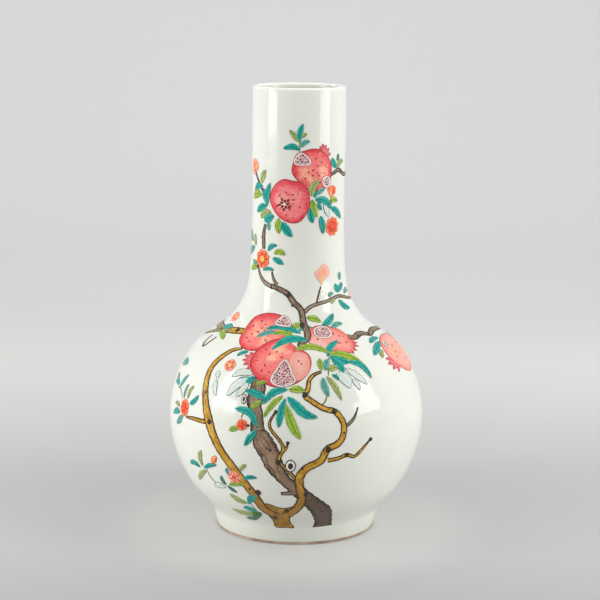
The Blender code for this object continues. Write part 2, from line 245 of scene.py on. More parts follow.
def ribbon(painting, path, widths, layer, material, seed, taper=None, wobble=0.0,
           open_start=False):
    """Paint a stroke along a path; taper(share) scales its width.

    A stroke with an open start has no outline there, because another one runs into it.
    """
    path = np.array(path, dtype=float)
    scale = math.radians(1.0) * float(radius_at(path[:, 1].mean()))
    flat_path = np.column_stack([path[:, 0] * scale, path[:, 1]])
    steps = np.linalg.norm(np.diff(flat_path, axis=0), axis=1)
    spacing = NECK_SPACING if path[:, 1].mean() > NECK_RISE else STROKE_SPACING
    count = max(9, int(steps.sum() / spacing) + 1)
    if len(path) > 2:
        line = smooth_curve(flat_path, count)
    else:
        line = flat_path[0] + np.linspace(0, 1, count)[:, None] * (flat_path[1] - flat_path[0])
    azimuth = line[:, 0] / scale
    rise = line[:, 1]
    radius = radius_at(rise)
    run = np.gradient(azimuth) * math.radians(1.0) * radius
    climb = np.gradient(rise)
    stride = np.hypot(run, climb)
    along = np.concatenate([[0.0], np.cumsum(0.5 * (stride[1:] + stride[:-1]))])
    share = along / along[-1]
    knots = np.concatenate([[0.0], np.cumsum(steps)]) / steps.sum()
    if len(widths) == len(path):
        half = 0.5 * np.interp(np.linspace(0, 1, count), knots, widths)
    else:
        half = 0.5 * np.interp(share, np.linspace(0, 1, len(widths)), widths)
    if taper is not None:
        half = half * taper(share)
    ripple = np.sin(along * 0.9 + seed) + 0.6 * np.sin(along * 2.1 + 2.0 * seed)
    half = half * (1.0 + wobble * ripple)
    columns = max(5, 2 * int(half.max() / spacing) + 3)
    side = np.linspace(-1.0, 1.0, columns)
    off = half[:, None] * side[None, :]
    spot_azimuth, spot_rise = beside(
        azimuth[:, None], rise[:, None],
        -climb[:, None] / stride[:, None] * off, run[:, None] / stride[:, None] * off)
    end = (along[-1] - along)[:, None]
    if not open_start:
        end = np.minimum(end, along[:, None])
    rim = np.minimum(half[:, None] * (1.0 - np.abs(side))[None, :], end)
    lift = base_lift(layer) + CROWN * (1.0 - side[None, :] ** 2) * np.ones_like(off)
    flat = np.stack([along[:, None] + 0.0 * off, off, np.full_like(off, seed * SEED_STEP)], axis=-1)
    shares = share[:, None] + 0.0 * off
    sides = side[None, :] + 0.0 * off
    grids = [spot_azimuth, spot_rise, lift, rim, shares, sides, flat]
    grids = [np.pad(g, ((1, 1), (1, 1)) + ((0, 0),) * (g.ndim - 2), mode="edge") for g in grids]
    grids[2][[0, -1], :] = SUNK
    grids[2][:, [0, -1]] = SUNK
    marks = {"rim": grids[3], "share": grids[4], "side": grids[5], "flat": grids[6]}
    painting.lay(grids[0][:, ::-1], grids[1][:, ::-1], grids[2][:, ::-1],
                 {k: v[:, ::-1] for k, v in marks.items()}, material, False)


def leaf_taper(share):
    """Return a leaf's width from its stalk to its point."""
    return np.clip(np.sin(math.pi * share**0.9), 0.0, 1.0) ** 0.62 * 0.94 + 0.06


def leaf(painting, material, width, path, layer, seed):
    """Paint one leaf from its base to its tip."""
    ribbon(painting, path, [LEAF_FULLNESS * width], layer, material, seed, taper=leaf_taper,
           wobble=BRUSH_WOBBLE)


def blob(painting, outline, layer, material, seed, centre=None, glows=()):
    """Paint a shape inside a closed smooth outline of places."""
    outline = np.array(outline, dtype=float)
    middle = outline.mean(axis=0) if centre is None else np.array(centre, dtype=float)
    across = np.radians(outline[:, 0] - middle[0]) * radius_at(outline[:, 1])
    up = outline[:, 1] - middle[1]
    loop = np.column_stack([across, up])
    around = float(np.linalg.norm(np.diff(np.vstack([loop, loop[:1]]), axis=0), axis=1).sum())
    spacing = NECK_SPACING if middle[1] > NECK_RISE else SHAPE_SPACING
    columns = max(16, int(around / spacing))
    lead = 3
    closed = np.vstack([loop[-lead:], loop, loop[:lead + 1]])
    fine = smooth_curve(closed, 40 * len(closed))
    steps = np.linalg.norm(np.diff(closed, axis=0), axis=1)
    at = np.concatenate([[0.0], np.cumsum(steps)])
    start = at[lead] / at[-1]
    stop = at[lead + len(loop)] / at[-1]
    wanted = np.linspace(start, stop, columns, endpoint=False)
    have = np.linspace(0.0, 1.0, len(fine))
    edge = np.column_stack([np.interp(wanted, have, fine[:, k]) for k in (0, 1)])
    area = np.sum(edge[:, 0] * np.roll(edge[:, 1], -1) - edge[:, 1] * np.roll(edge[:, 0], -1))
    if area < 0.0:
        edge = edge[::-1]
    reach = np.linalg.norm(edge, axis=1)
    rows = max(5, int(reach.max() / spacing) + 2)
    share = np.linspace(1.0, 0.0, rows)
    off = edge[None, :, :] * share[:, None, None]
    gaps = off[:, :, None, :] - edge[None, None, :, :]
    rim = np.linalg.norm(gaps, axis=-1).min(axis=-1)
    lift = base_lift(layer) + CROWN * (1.0 - share[:, None] ** 4) * np.ones_like(rim)
    turn = np.arctan2(edge[:, 1], edge[:, 0]) / math.pi
    sides = turn[None, :] + 0.0 * rim
    shares = share[:, None] + 0.0 * rim
    flat = np.concatenate([off, np.full_like(rim, seed * SEED_STEP)[:, :, None]], axis=2)
    glow = np.zeros_like(rim)
    for (glow_azimuth, glow_rise), size in glows:
        glow_across = math.radians(glow_azimuth - middle[0]) * float(radius_at(glow_rise))
        gap = np.hypot(off[:, :, 0] - glow_across, off[:, :, 1] - (glow_rise - middle[1]))
        glow = np.maximum(glow, np.exp(-((gap / size) ** 2)))
    grids = [off[:, :, 0], off[:, :, 1], lift, rim, shares, sides, flat, glow]
    grids = [np.concatenate([g[:1], g], axis=0) for g in grids]
    grids[2][0, :] = SUNK
    azimuth, rise = beside(middle[0], middle[1], grids[0], grids[1])
    marks = {"rim": grids[3], "share": grids[4], "side": grids[5], "flat": grids[6],
             "glow": grids[7]}
    painting.lay(azimuth, rise, grids[2], marks, material, True)


class Nodes:
    """Short calls for building a material's nodes."""

    def __init__(self, name):
        self.material = bpy.data.materials.new(name)
        self.material.use_nodes = True
        self.tree = self.material.node_tree
        self.shader = self.tree.nodes["Principled BSDF"]

    def add(self, kind, inputs, **settings):
        """Add a node; inputs maps a socket's name or number to a value or an output."""
        node = self.tree.nodes.new(kind)
        for key, value in settings.items():
            setattr(node, key, value)
        for key, value in inputs.items():
            self.plug(node.inputs[key], value)
        return node

    def plug(self, socket, value):
        """Link an output to a socket, or set its value."""
        if isinstance(value, bpy.types.NodeSocket):
            self.tree.links.new(value, socket)
        elif isinstance(value, tuple) and len(value) == 3 and socket.type == "RGBA":
            socket.default_value = (*value, 1.0)
        else:
            socket.default_value = value

    def mark(self, name):
        """Read a stroke's attribute."""
        node = self.add("ShaderNodeAttribute", {}, attribute_name=name)
        return node.outputs["Vector" if name == "flat" else "Fac"]

    def math(self, operation, first, second=0.0):
        """Combine two numbers."""
        node = self.add("ShaderNodeMath", {0: first, 1: second}, operation=operation)
        return node.outputs[0]

    def ramp(self, value, low, high, at_low=0.0, at_high=1.0):
        """Map a number smoothly from one range to another."""
        node = self.add("ShaderNodeMapRange", {
            "Value": value, "From Min": low, "From Max": high,
            "To Min": at_low, "To Max": at_high}, interpolation_type="SMOOTHSTEP")
        return node.outputs[0]

    def mix(self, share, first, second):
        """Mix two colours."""
        node = self.add("ShaderNodeMix", {0: share, 6: first, 7: second}, data_type="RGBA")
        return node.outputs[2]

    def stretch(self, vector, scale):
        """Scale a vector."""
        node = self.add("ShaderNodeMapping", {"Vector": vector, "Scale": scale})
        return node.outputs[0]

    def noise(self, vector, scale, detail=2.0):
        """Read cloud noise."""
        node = self.add("ShaderNodeTexNoise", {
            "Vector": vector, "Scale": scale, "Detail": detail})
        return node.outputs["Fac"]

    def streaks(self, flat, along, across, detail=2.0):
        """Read cloud noise with so many clouds a millimetre along and across a stroke."""
        return self.noise(self.stretch(flat, (along, across, 1.0)), 1.0, detail)

    def cells(self, flat, density, feature="F1"):
        """Read a cell pattern with so many cells a millimetre."""
        return self.add("ShaderNodeTexVoronoi", {
            "Vector": self.stretch(flat, (density, density, 1.0)), "Scale": 1.0},
            feature=feature)

    def bump(self, height, distance, strength=1.0):
        """Raise the surface by a height."""
        node = self.add("ShaderNodeBump", {
            "Height": height, "Distance": distance, "Strength": strength})
        self.plug(self.shader.inputs["Normal"], node.outputs[0])

    def split(self, vector):
        """Return a vector's x, y and z."""
        return tuple(self.add("ShaderNodeSeparateXYZ", {0: vector}).outputs)

    def place(self):
        """Return the place on the object, in metres."""
        return self.add("ShaderNodeTexCoord", {}).outputs["Object"]

    def set(self, **values):
        """Set or link the shader's own sockets; underscores stand for spaces."""
        for key, value in values.items():
            self.plug(self.shader.inputs[key.replace("_", " ")], value)
        return self.material


def leaf_material(name, fresh, deep, line, outline=0.6, veins=1.0, edge_width=0.5):
    """Translucent leaf enamel with brush streaks, dark veins and a soft outline."""
    n = Nodes(name)
    flat = n.mark("flat")
    rim = n.mark("rim")
    share = n.mark("share")
    along, across, _ = n.split(flat)
    off = n.math("ABSOLUTE", across)
    streaks = n.streaks(flat, 0.35, 1.1, 3.0)
    depth = n.math("ADD", n.ramp(streaks, 0.38, 0.66), n.ramp(share, 0.5, 1.0, 0.0, 0.3))
    body = n.mix(n.math("MINIMUM", depth, 1.0), fresh, deep)
    thin = n.ramp(rim, 0.0, 1.1, 0.35, 0.0)
    body = n.mix(n.math("MULTIPLY", thin, n.ramp(streaks, 0.6, 0.4)), body, (0.62, 0.72, 0.60))
    slant = n.math("SUBTRACT", along, n.math("MULTIPLY", off, 1.2))
    turn = n.math("FRACT", n.math("MULTIPLY", slant, 0.42))
    twig = n.math("MULTIPLY", n.ramp(turn, 0.10, 0.22, 0.55 * veins, 0.0), n.ramp(rim, 0.3, 1.0))
    body = n.mix(twig, body, line)
    vein = n.ramp(off, 0.12, 0.42, 0.85 * veins, 0.0)
    body = n.mix(n.math("MULTIPLY", vein, n.ramp(share, 0.82, 1.0, 1.0, 0.0)), body, line)
    waver = n.noise(flat, 0.7, 2.0)
    edge = n.math("MULTIPLY", n.ramp(rim, 0.3 * edge_width, edge_width, outline, 0.0),
                  n.ramp(waver, 0.30, 0.5))
    body = n.mix(edge, body, line)
    n.bump(streaks, 0.00004)
    return n.set(Base_Color=body, Roughness=n.ramp(edge, 0.1, 0.7, LEAF_GLOSS, 0.5),
                 Specular_IOR_Level=0.35)


def bark_material(name, light, middle, dark, line, tick_share, root=None, root_top=1.0):
    """Branch enamel: shaded sides, streaks, ticks, a dark outline and a darker root."""
    n = Nodes(name)
    flat = n.mark("flat")
    rim = n.mark("rim")
    side = n.mark("side")
    streaks = n.streaks(flat, 0.12, 0.8, 4.0)
    blotches = n.streaks(flat, 0.13, 0.30, 2.0)
    body = n.mix(n.ramp(streaks, 0.40, 0.62), middle, light)
    body = n.mix(n.ramp(blotches, 0.50, 0.68, 0.0, 0.6), body, dark)
    if root is not None:
        rising = n.ramp(n.mark("share"), 0.5 * root_top, root_top, 0.85, 0.0)
        body = n.mix(rising, body, root)
    lean = n.math("ADD", side, n.math("MULTIPLY", n.math("SUBTRACT", blotches, 0.5), 1.4))
    shaded = n.ramp(n.math("ABSOLUTE", lean), 0.40, 1.0, 0.0, 0.8)
    body = n.mix(shaded, body, dark)
    ticks = n.streaks(flat, 1.1, 0.45, 2.0)
    near_edge = n.ramp(rim, 0.4, 2.4, 0.95, 0.35)
    ticks = n.ramp(ticks, tick_share - 0.04, tick_share + 0.03)
    body = n.mix(n.math("MULTIPLY", ticks, near_edge), body, line)
    waver = n.streaks(flat, 0.5, 0.5, 2.0)
    edge = n.ramp(n.math("SUBTRACT", rim, n.math("MULTIPLY", waver, 1.25)), 0.0, 0.5, 0.97, 0.0)
    body = n.mix(edge, body, line)
    n.bump(streaks, 0.0001)
    return n.set(Base_Color=body, Roughness=n.ramp(streaks, 0.3, 0.7, 0.32, 0.5),
                 Specular_IOR_Level=0.3)


def fruit_material(name, rim_colour, middle, glow_colour, line):
    """Opaque rose enamel: deep at the rim, ripe inside with one glow a painted highlight, and fine red
    specks.
    """
    n = Nodes(name)
    flat = n.mark("flat")
    rim = n.mark("rim")
    glow = n.mark("glow")
    wash = n.streaks(flat, 0.11, 0.11, 3.0)
    inward = n.math("ADD", rim, n.math("MULTIPLY", n.math("SUBTRACT", wash, 0.5), 9.0))
    body = n.mix(n.ramp(inward, 0.5, 8.0), rim_colour, middle)
    # the glows turn the fruit peach: ripe colour, and on the upper neck fruit also a painted highlight
    ripe_and_highlight = n.math("MULTIPLY", glow, n.ramp(wash, 0.35, 0.6, 0.5, 1.0))
    body = n.mix(n.ramp(ripe_and_highlight, 0.25, 1.0), body, glow_colour)
    grain = n.streaks(flat, 1.0, 1.0, 3.0)
    body = n.mix(n.ramp(grain, 0.48, 0.66, 0.0, 0.5), body, rim_colour)
    body = n.mix(n.ramp(grain, 0.46, 0.34, 0.0, 0.25), body, (0.95, 0.62, 0.52))
    specks = n.cells(flat, SPECK_DENSITY)
    chosen = n.add("ShaderNodeSeparateColor", {0: specks.outputs["Color"]}).outputs[0]
    near = n.ramp(specks.outputs["Distance"], 0.13, 0.22, 0.9, 0.0)
    body = n.mix(n.math("MULTIPLY", near, n.ramp(chosen, 0.55, 0.6)), body, line)
    waver = n.noise(flat, 0.6, 2.0)
    edge = n.ramp(n.math("SUBTRACT", rim, n.math("MULTIPLY", waver, 1.1)), 0.0, 0.4, 0.85, 0.0)
    body = n.mix(edge, body, line)
    n.bump(grain, 0.00005)
    return n.set(Base_Color=body, Roughness=n.ramp(grain, 0.3, 0.7, 0.28, 0.42),
                 Specular_IOR_Level=0.3)


def seed_material():
    """Packed dark seeds with pale skins between them, inside a white border."""
    n = Nodes("seed_enamel")
    flat = n.mark("flat")
    rim = n.mark("rim")
    packed = n.cells(flat, SEED_DENSITY)
    walls = n.cells(flat, SEED_DENSITY, "DISTANCE_TO_EDGE")
    tone = n.add("ShaderNodeSeparateColor", {0: packed.outputs["Color"]}).outputs[0]
    body = n.mix(n.ramp(tone, 0.2, 0.9), (0.075, 0.006, 0.018), (0.33, 0.030, 0.065))
    body = n.mix(n.ramp(walls.outputs["Distance"], 0.06, 0.19, 0.95, 0.0), body,
                 (0.80, 0.60, 0.58))
    body = n.mix(n.ramp(rim, 1.15, 1.55, 1.0, 0.0), body, (0.84, 0.80, 0.76))
    body = n.mix(n.ramp(rim, 0.25, 0.6, 0.9, 0.0), body, (0.17, 0.015, 0.03))
    n.bump(packed.outputs["Distance"], 0.00012)
    return n.set(Base_Color=body, Roughness=0.3, Specular_IOR_Level=0.3)


def petal_material(name, heart, edge_colour, line):
    """Coral petals that deepen towards the heart, with fine streaks."""
    n = Nodes(name)
    flat = n.mark("flat")
    rim = n.mark("rim")
    share = n.mark("share")
    streaks = n.streaks(flat, 0.6, 0.6, 3.0)
    inward = n.math("ADD", share, n.math("MULTIPLY", n.math("SUBTRACT", streaks, 0.5), 1.6))
    body = n.mix(n.ramp(inward, 0.2, 0.95), heart, edge_colour)
    lines = n.streaks(flat, 0.5, 1.5, 2.0)
    body = n.mix(n.ramp(lines, 0.52, 0.66, 0.0, 0.6), body, heart)
    edge = n.ramp(rim, 0.05, 0.45, 0.75, 0.0)
    body = n.mix(edge, body, line)
    n.bump(streaks, 0.00005)
    return n.set(Base_Color=body, Roughness=n.ramp(streaks, 0.3, 0.7, 0.3, 0.45),
                 Specular_IOR_Level=0.3)


def mark_material(name, colour):
    """Flat brush marks of one pigment, denser in places."""
    n = Nodes(name)
    flat = n.mark("flat")
    wash = n.noise(flat, 0.8, 2.0)
    lighter = tuple(min(1.0, c * 1.7 + 0.03) for c in colour)
    return n.set(Base_Color=n.mix(n.ramp(wash, 0.3, 0.7), colour, lighter), Roughness=0.4)


def glaze_material():
    """Clear glossy glaze over a faintly warm, greenish white body, with painted shade towards the foot.
    """
    n = Nodes("porcelain_glaze")
    place = n.place()
    clouds = n.noise(place, 14.0, 3.0)
    body = n.mix(n.ramp(clouds, 0.3, 0.7), (0.768, 0.779, 0.715), (0.790, 0.801, 0.740))
    height = n.split(place)[2]
    # Painted shade: the glaze is darkened below 50 mm, most strongly below 10 mm, towards the foot
    body = n.mix(n.ramp(height, 0.010, 0.050, 0.75, 0.0), body, (0.66, 0.67, 0.60))
    ripple = n.noise(place, 55.0, 2.0)
    n.bump(ripple, 0.00003)
    return n.set(Base_Color=body, Roughness=n.ramp(clouds, 0.3, 0.7, 0.055, 0.085), IOR=1.52)


def biscuit_material():
    """Bare clay at the foot's edge, burnt brown by the kiln."""
    n = Nodes("bare_biscuit")
    place = n.place()
    grain = n.noise(place, 900.0, 4.0)
    burn = n.noise(place, 60.0, 3.0)
    body = n.mix(n.ramp(burn, 0.3, 0.7), (0.26, 0.175, 0.125), (0.46, 0.36, 0.28))
    n.bump(grain, 0.00012)
    return n.set(Base_Color=body, Roughness=n.ramp(grain, 0.3, 0.7, 0.65, 0.9))


def paste_material():
    """Fired porcelain paste inside the glaze."""
    n = Nodes("porcelain_paste")
    place = n.place()
    grain = n.noise(place, 700.0, 4.0)
    body = n.mix(n.ramp(grain, 0.3, 0.7), (0.72, 0.71, 0.66), (0.80, 0.79, 0.74))
    n.bump(grain, 0.00006)
    return n.set(Base_Color=body, Roughness=n.ramp(grain, 0.3, 0.7, 0.7, 0.85))


def turned(name, profile, closed, material, nodes):
    """Turn a (height, radius) profile about the axis as one smooth piece."""
    angles = np.linspace(0.0, 2.0 * math.pi, TURNS, endpoint=False)
    build = bmesh.new()
    rings = []
    for height, radius in profile:
        if radius < SAME_POINT:
            rings.append([build.verts.new((0.0, 0.0, height * MM))])
            continue
        rings.append([
            build.verts.new((radius * math.cos(a) * MM, radius * math.sin(a) * MM, height * MM))
            for a in angles
        ])
    pairs = list(zip(rings, rings[1:]))
    if closed:
        pairs.append((rings[-1], rings[0]))
    for upper, lower in pairs:
        for i in range(TURNS):
            j = (i + 1) % TURNS
            corners = [upper[i % len(upper)], lower[i % len(lower)],
                       lower[j % len(lower)], upper[j % len(upper)]]
            build.faces.new(list(dict.fromkeys(corners)))
    bmesh.ops.recalc_face_normals(build, faces=build.faces)
    mesh = bpy.data.meshes.new(name)
    build.to_mesh(mesh)
    build.free()
    mesh.materials.append(material)
    add_piece(name, mesh, nodes)


def offset(curve, distance):
    """Shift a (height, radius) curve outwards along its normals."""
    slope = np.gradient(curve, axis=0)
    slope /= np.linalg.norm(slope, axis=1)[:, None]
    return curve + distance * np.column_stack([-slope[:, 1], slope[:, 0]])


def arc(centre, radius, start, stop, count):
    """Return (height, radius) points of an arc; angles turn from outwards to upwards."""
    return [
        (centre[0] + radius * math.sin(math.radians(a)),
         centre[1] + radius * math.cos(math.radians(a)))
        for a in np.linspace(start, stop, count)
    ]


def foot_outside(inset):
    """Return the glazed foot band, bottom to top, up to the soft crease under the body."""
    band = [(BARE_EDGE, FOOT_RADIUS - 0.15), (BARE_EDGE + 0.5, FOOT_RADIUS + 0.05)] + FOOT_BAND
    return [(height, radius - inset) for height, radius in band]


def above_band(curve):
    """Keep the part of a bottom-to-top curve above the foot band."""
    return [tuple(point) for point in curve if point[0] > BAND_TOP]


def build_vessel(glaze, biscuit):
    """Make the glazed vessel, its base and its bare foot edge."""
    outer = foot_outside(0.0) + above_band(smooth_curve(OUTSIDE, 220))
    inner = [tuple(p) for p in smooth_curve(INSIDE, 110)]
    lip_round = 0.5 * (OUTSIDE[-1][1] - INSIDE[-1][1])
    lip_centre = (HEIGHT - lip_round, 0.5 * (OUTSIDE[-1][1] + INSIDE[-1][1]))
    lip = arc(lip_centre, lip_round, *LIP_ANGLES, 15)
    under = foot_outside(GLAZE) + above_band(offset(smooth_curve(OUTSIDE, 60), -GLAZE))
    under += arc(lip_centre, lip_round - GLAZE, *LIP_ANGLES, 7)
    hidden = offset(smooth_curve(INSIDE, 60), GLAZE)
    hidden[0] = (INSIDE[0][0] - GLAZE, 0.0)
    profile = inner + lip[::-1] + outer[::-1] + under + [tuple(p) for p in hidden[::-1]]
    turned("glazed_vessel", profile, False, glaze, ["outer_glaze", "inner_glaze"])

    rim = FOOT_INNER_RADIUS - BASE_GAP
    base = [(BASE_CEILING, 0.0), (BASE_CEILING, rim), (BARE_EDGE, rim),
            (BARE_EDGE + 0.1, rim - GLAZE)]
    base += arc((BASE_CEILING - GLAZE - BASE_CORNER, rim - GLAZE - BASE_CORNER), BASE_CORNER,
                0, 90, 7)
    base += [(BASE_CEILING - GLAZE, 0.0)]
    turned("glazed_base", base, False, glaze, ["base_glaze"])

    side = FOOT_RADIUS - BARE_SETBACK
    edge = [(BARE_TOP, FOOT_RADIUS + 0.5), (BARE_EDGE + 0.2, side),
            (BARE_EDGE, side + OUTER_CORNER)]
    edge += arc((OUTER_CORNER, side - 0.1), OUTER_CORNER, 0, -90, 5)
    edge += [(0.0, FOOT_INNER_RADIUS + BARE_SETBACK)]
    edge += arc((INNER_CORNER, FOOT_INNER_RADIUS + INNER_CORNER), INNER_CORNER, -90, -180, 5)
    edge += [(BARE_TOP, FOOT_INNER_RADIUS)]
    turned("bare_foot", edge, True, biscuit, ["foot_ring"])


# Enamel colours, as linear values.  Leaves: fresh, deep, line
LEAF_COLOURS = {
    "teal": ((0.010, 0.460, 0.385), (0.000, 0.255, 0.230), (0.000, 0.045, 0.055)),
    "green": ((0.420, 0.560, 0.060), (0.180, 0.360, 0.030), (0.035, 0.100, 0.010)),
    "olive": ((0.480, 0.520, 0.200), (0.240, 0.330, 0.090), (0.090, 0.110, 0.025)),
    "mist": ((0.140, 0.480, 0.400), (0.060, 0.290, 0.260), (0.030, 0.100, 0.095)),
    "slate": ((0.110, 0.260, 0.210), (0.030, 0.110, 0.100), (0.010, 0.035, 0.030)),
    "moss": ((0.060, 0.240, 0.030), (0.015, 0.110, 0.020), (0.004, 0.030, 0.006)),
}
# Pale leaves are painted highlight: enamel washed out where the soft boxes' reflections cross it; fresh,
# deep, line
HIGHLIT_PALE_LEAF = ((0.74, 0.77, 0.70), (0.60, 0.72, 0.68), (0.035, 0.070, 0.070))
LEAF_GLOSS = 0.28
# Bark: light, middle, dark, line, how few ticks, then the root's colour and the share it takes
OCHRE_BARK = ((0.70, 0.43, 0.07), (0.50, 0.25, 0.012), (0.20, 0.070, 0.003),
              (0.018, 0.008, 0.003), 0.60)
BARKS = {
    "ochre": OCHRE_BARK,
    "limb": OCHRE_BARK + ((0.36, 0.17, 0.030), 0.28),
    "stump": ((0.58, 0.34, 0.06), (0.36, 0.17, 0.020), (0.13, 0.050, 0.008),
              (0.018, 0.008, 0.003), 0.58),
    "brown": ((0.40, 0.275, 0.19), (0.27, 0.170, 0.110), (0.065, 0.038, 0.026),
              (0.008, 0.004, 0.003), 0.60, (0.095, 0.064, 0.046), 0.62),
    "taupe": ((0.34, 0.25, 0.17), (0.23, 0.155, 0.10), (0.09, 0.052, 0.032),
              (0.014, 0.008, 0.005), 0.60),
    "twig": ((0.45, 0.36, 0.26), (0.33, 0.25, 0.165), (0.15, 0.10, 0.06),
             (0.05, 0.03, 0.02), 0.62),
    # pale bark that stands partly for painted highlight, a branch washed by a soft box's reflection
    "faded": ((0.42, 0.36, 0.19), (0.27, 0.22, 0.10), (0.11, 0.085, 0.035),
              (0.04, 0.028, 0.012), 0.62),
}
# Fruits: rim, middle, ripe (also used for one painted highlight), line
FRUITS = {
    "rose": ((0.72, 0.040, 0.055), (0.90, 0.210, 0.200), (0.98, 0.520, 0.340),
             (0.26, 0.008, 0.018)),
    "berry": ((0.74, 0.050, 0.075), (0.90, 0.225, 0.240), (0.96, 0.460, 0.400),
              (0.30, 0.010, 0.025)),
    "pink": ((0.84, 0.170, 0.140), (0.88, 0.360, 0.310), (0.86, 0.520, 0.480),
             (0.38, 0.025, 0.030)),
    "peach": ((0.86, 0.270, 0.230), (0.90, 0.430, 0.350), (0.94, 0.400, 0.170),
              (0.40, 0.030, 0.030)),
    "crown": ((0.86, 0.220, 0.215), (0.90, 0.340, 0.310), (0.90, 0.45, 0.30),
              (0.50, 0.045, 0.055)),
    "husk": ((0.84, 0.330, 0.280), (0.86, 0.450, 0.390), (0.88, 0.50, 0.42),
             (0.70, 0.16, 0.14)),
}
# Petals: heart, edge, line
PETALS = {
    "coral": ((0.74, 0.045, 0.008), (0.92, 0.26, 0.10), (0.36, 0.025, 0.010)),
    "faint": ((0.88, 0.36, 0.25), (0.88, 0.52, 0.42), (0.70, 0.24, 0.16)),
    "blush": ((0.84, 0.120, 0.060), (0.93, 0.42, 0.28), (0.50, 0.070, 0.040)),
}
# Small marks of one pigment
MARKS = {
    "crimson": (0.31, 0.005, 0.014),
    "maroon": (0.12, 0.003, 0.010),
    "ink": (0.012, 0.007, 0.005),
    # white: the knots' white enamel, and painted highlight on one washed-out leaf
    "white": (0.62, 0.60, 0.52),
    "amber": (0.72, 0.36, 0.05),
    "ember": (0.62, 0.040, 0.004),
    "flame": (0.90, 0.36, 0.13),
    "shell": (0.86, 0.52, 0.44),
}


def make_materials():
    """Return the enamel materials by short name."""
    made = {"seeds": seed_material(),
            # pale: leaf enamel with painted highlight
            "pale": leaf_material("highlit_pale_leaf", *HIGHLIT_PALE_LEAF, 0.98, 0.25, 0.85)}
    for kind, table, maker in (
            ("leaf", LEAF_COLOURS, leaf_material), ("bark", BARKS, bark_material),
            ("fruit", FRUITS, fruit_material), ("petal", PETALS, petal_material)):
        for tone, settings in table.items():
            made[tone] = maker(tone + "_" + kind, *settings)
    for tone, colour in MARKS.items():
        made[tone] = mark_material(tone + "_mark", colour)
    return made


def dash(painting, material, width, path, layer, seed=0.0):
    """Paint a thin line that fades at both ends."""
    ribbon(painting, path, [width], layer, material, seed,
           taper=lambda share: np.clip(np.sin(math.pi * share), 0.0, 1.0) ** 0.4 * 0.85 + 0.15)


def oval(azimuth, rise, width, height, tilt=0.0, points=10):
    """Return an ellipse's outline; tilt turns it anticlockwise in degrees."""
    turn = np.linspace(0.0, 2.0 * math.pi, points, endpoint=False)
    lean = math.radians(tilt)
    across = 0.5 * width * np.cos(turn)
    up = 0.5 * height * np.sin(turn)
    right = across * math.cos(lean) - up * math.sin(lean)
    above = across * math.sin(lean) + up * math.cos(lean)
    return [(azimuth + math.degrees(x / float(radius_at(rise))), rise + y)
            for x, y in zip(right, above)]


# Sprays whose CAD node is green; the others are teal
GREEN_SPRAYS = ("leaves_left_side", "leaves_foot_left")

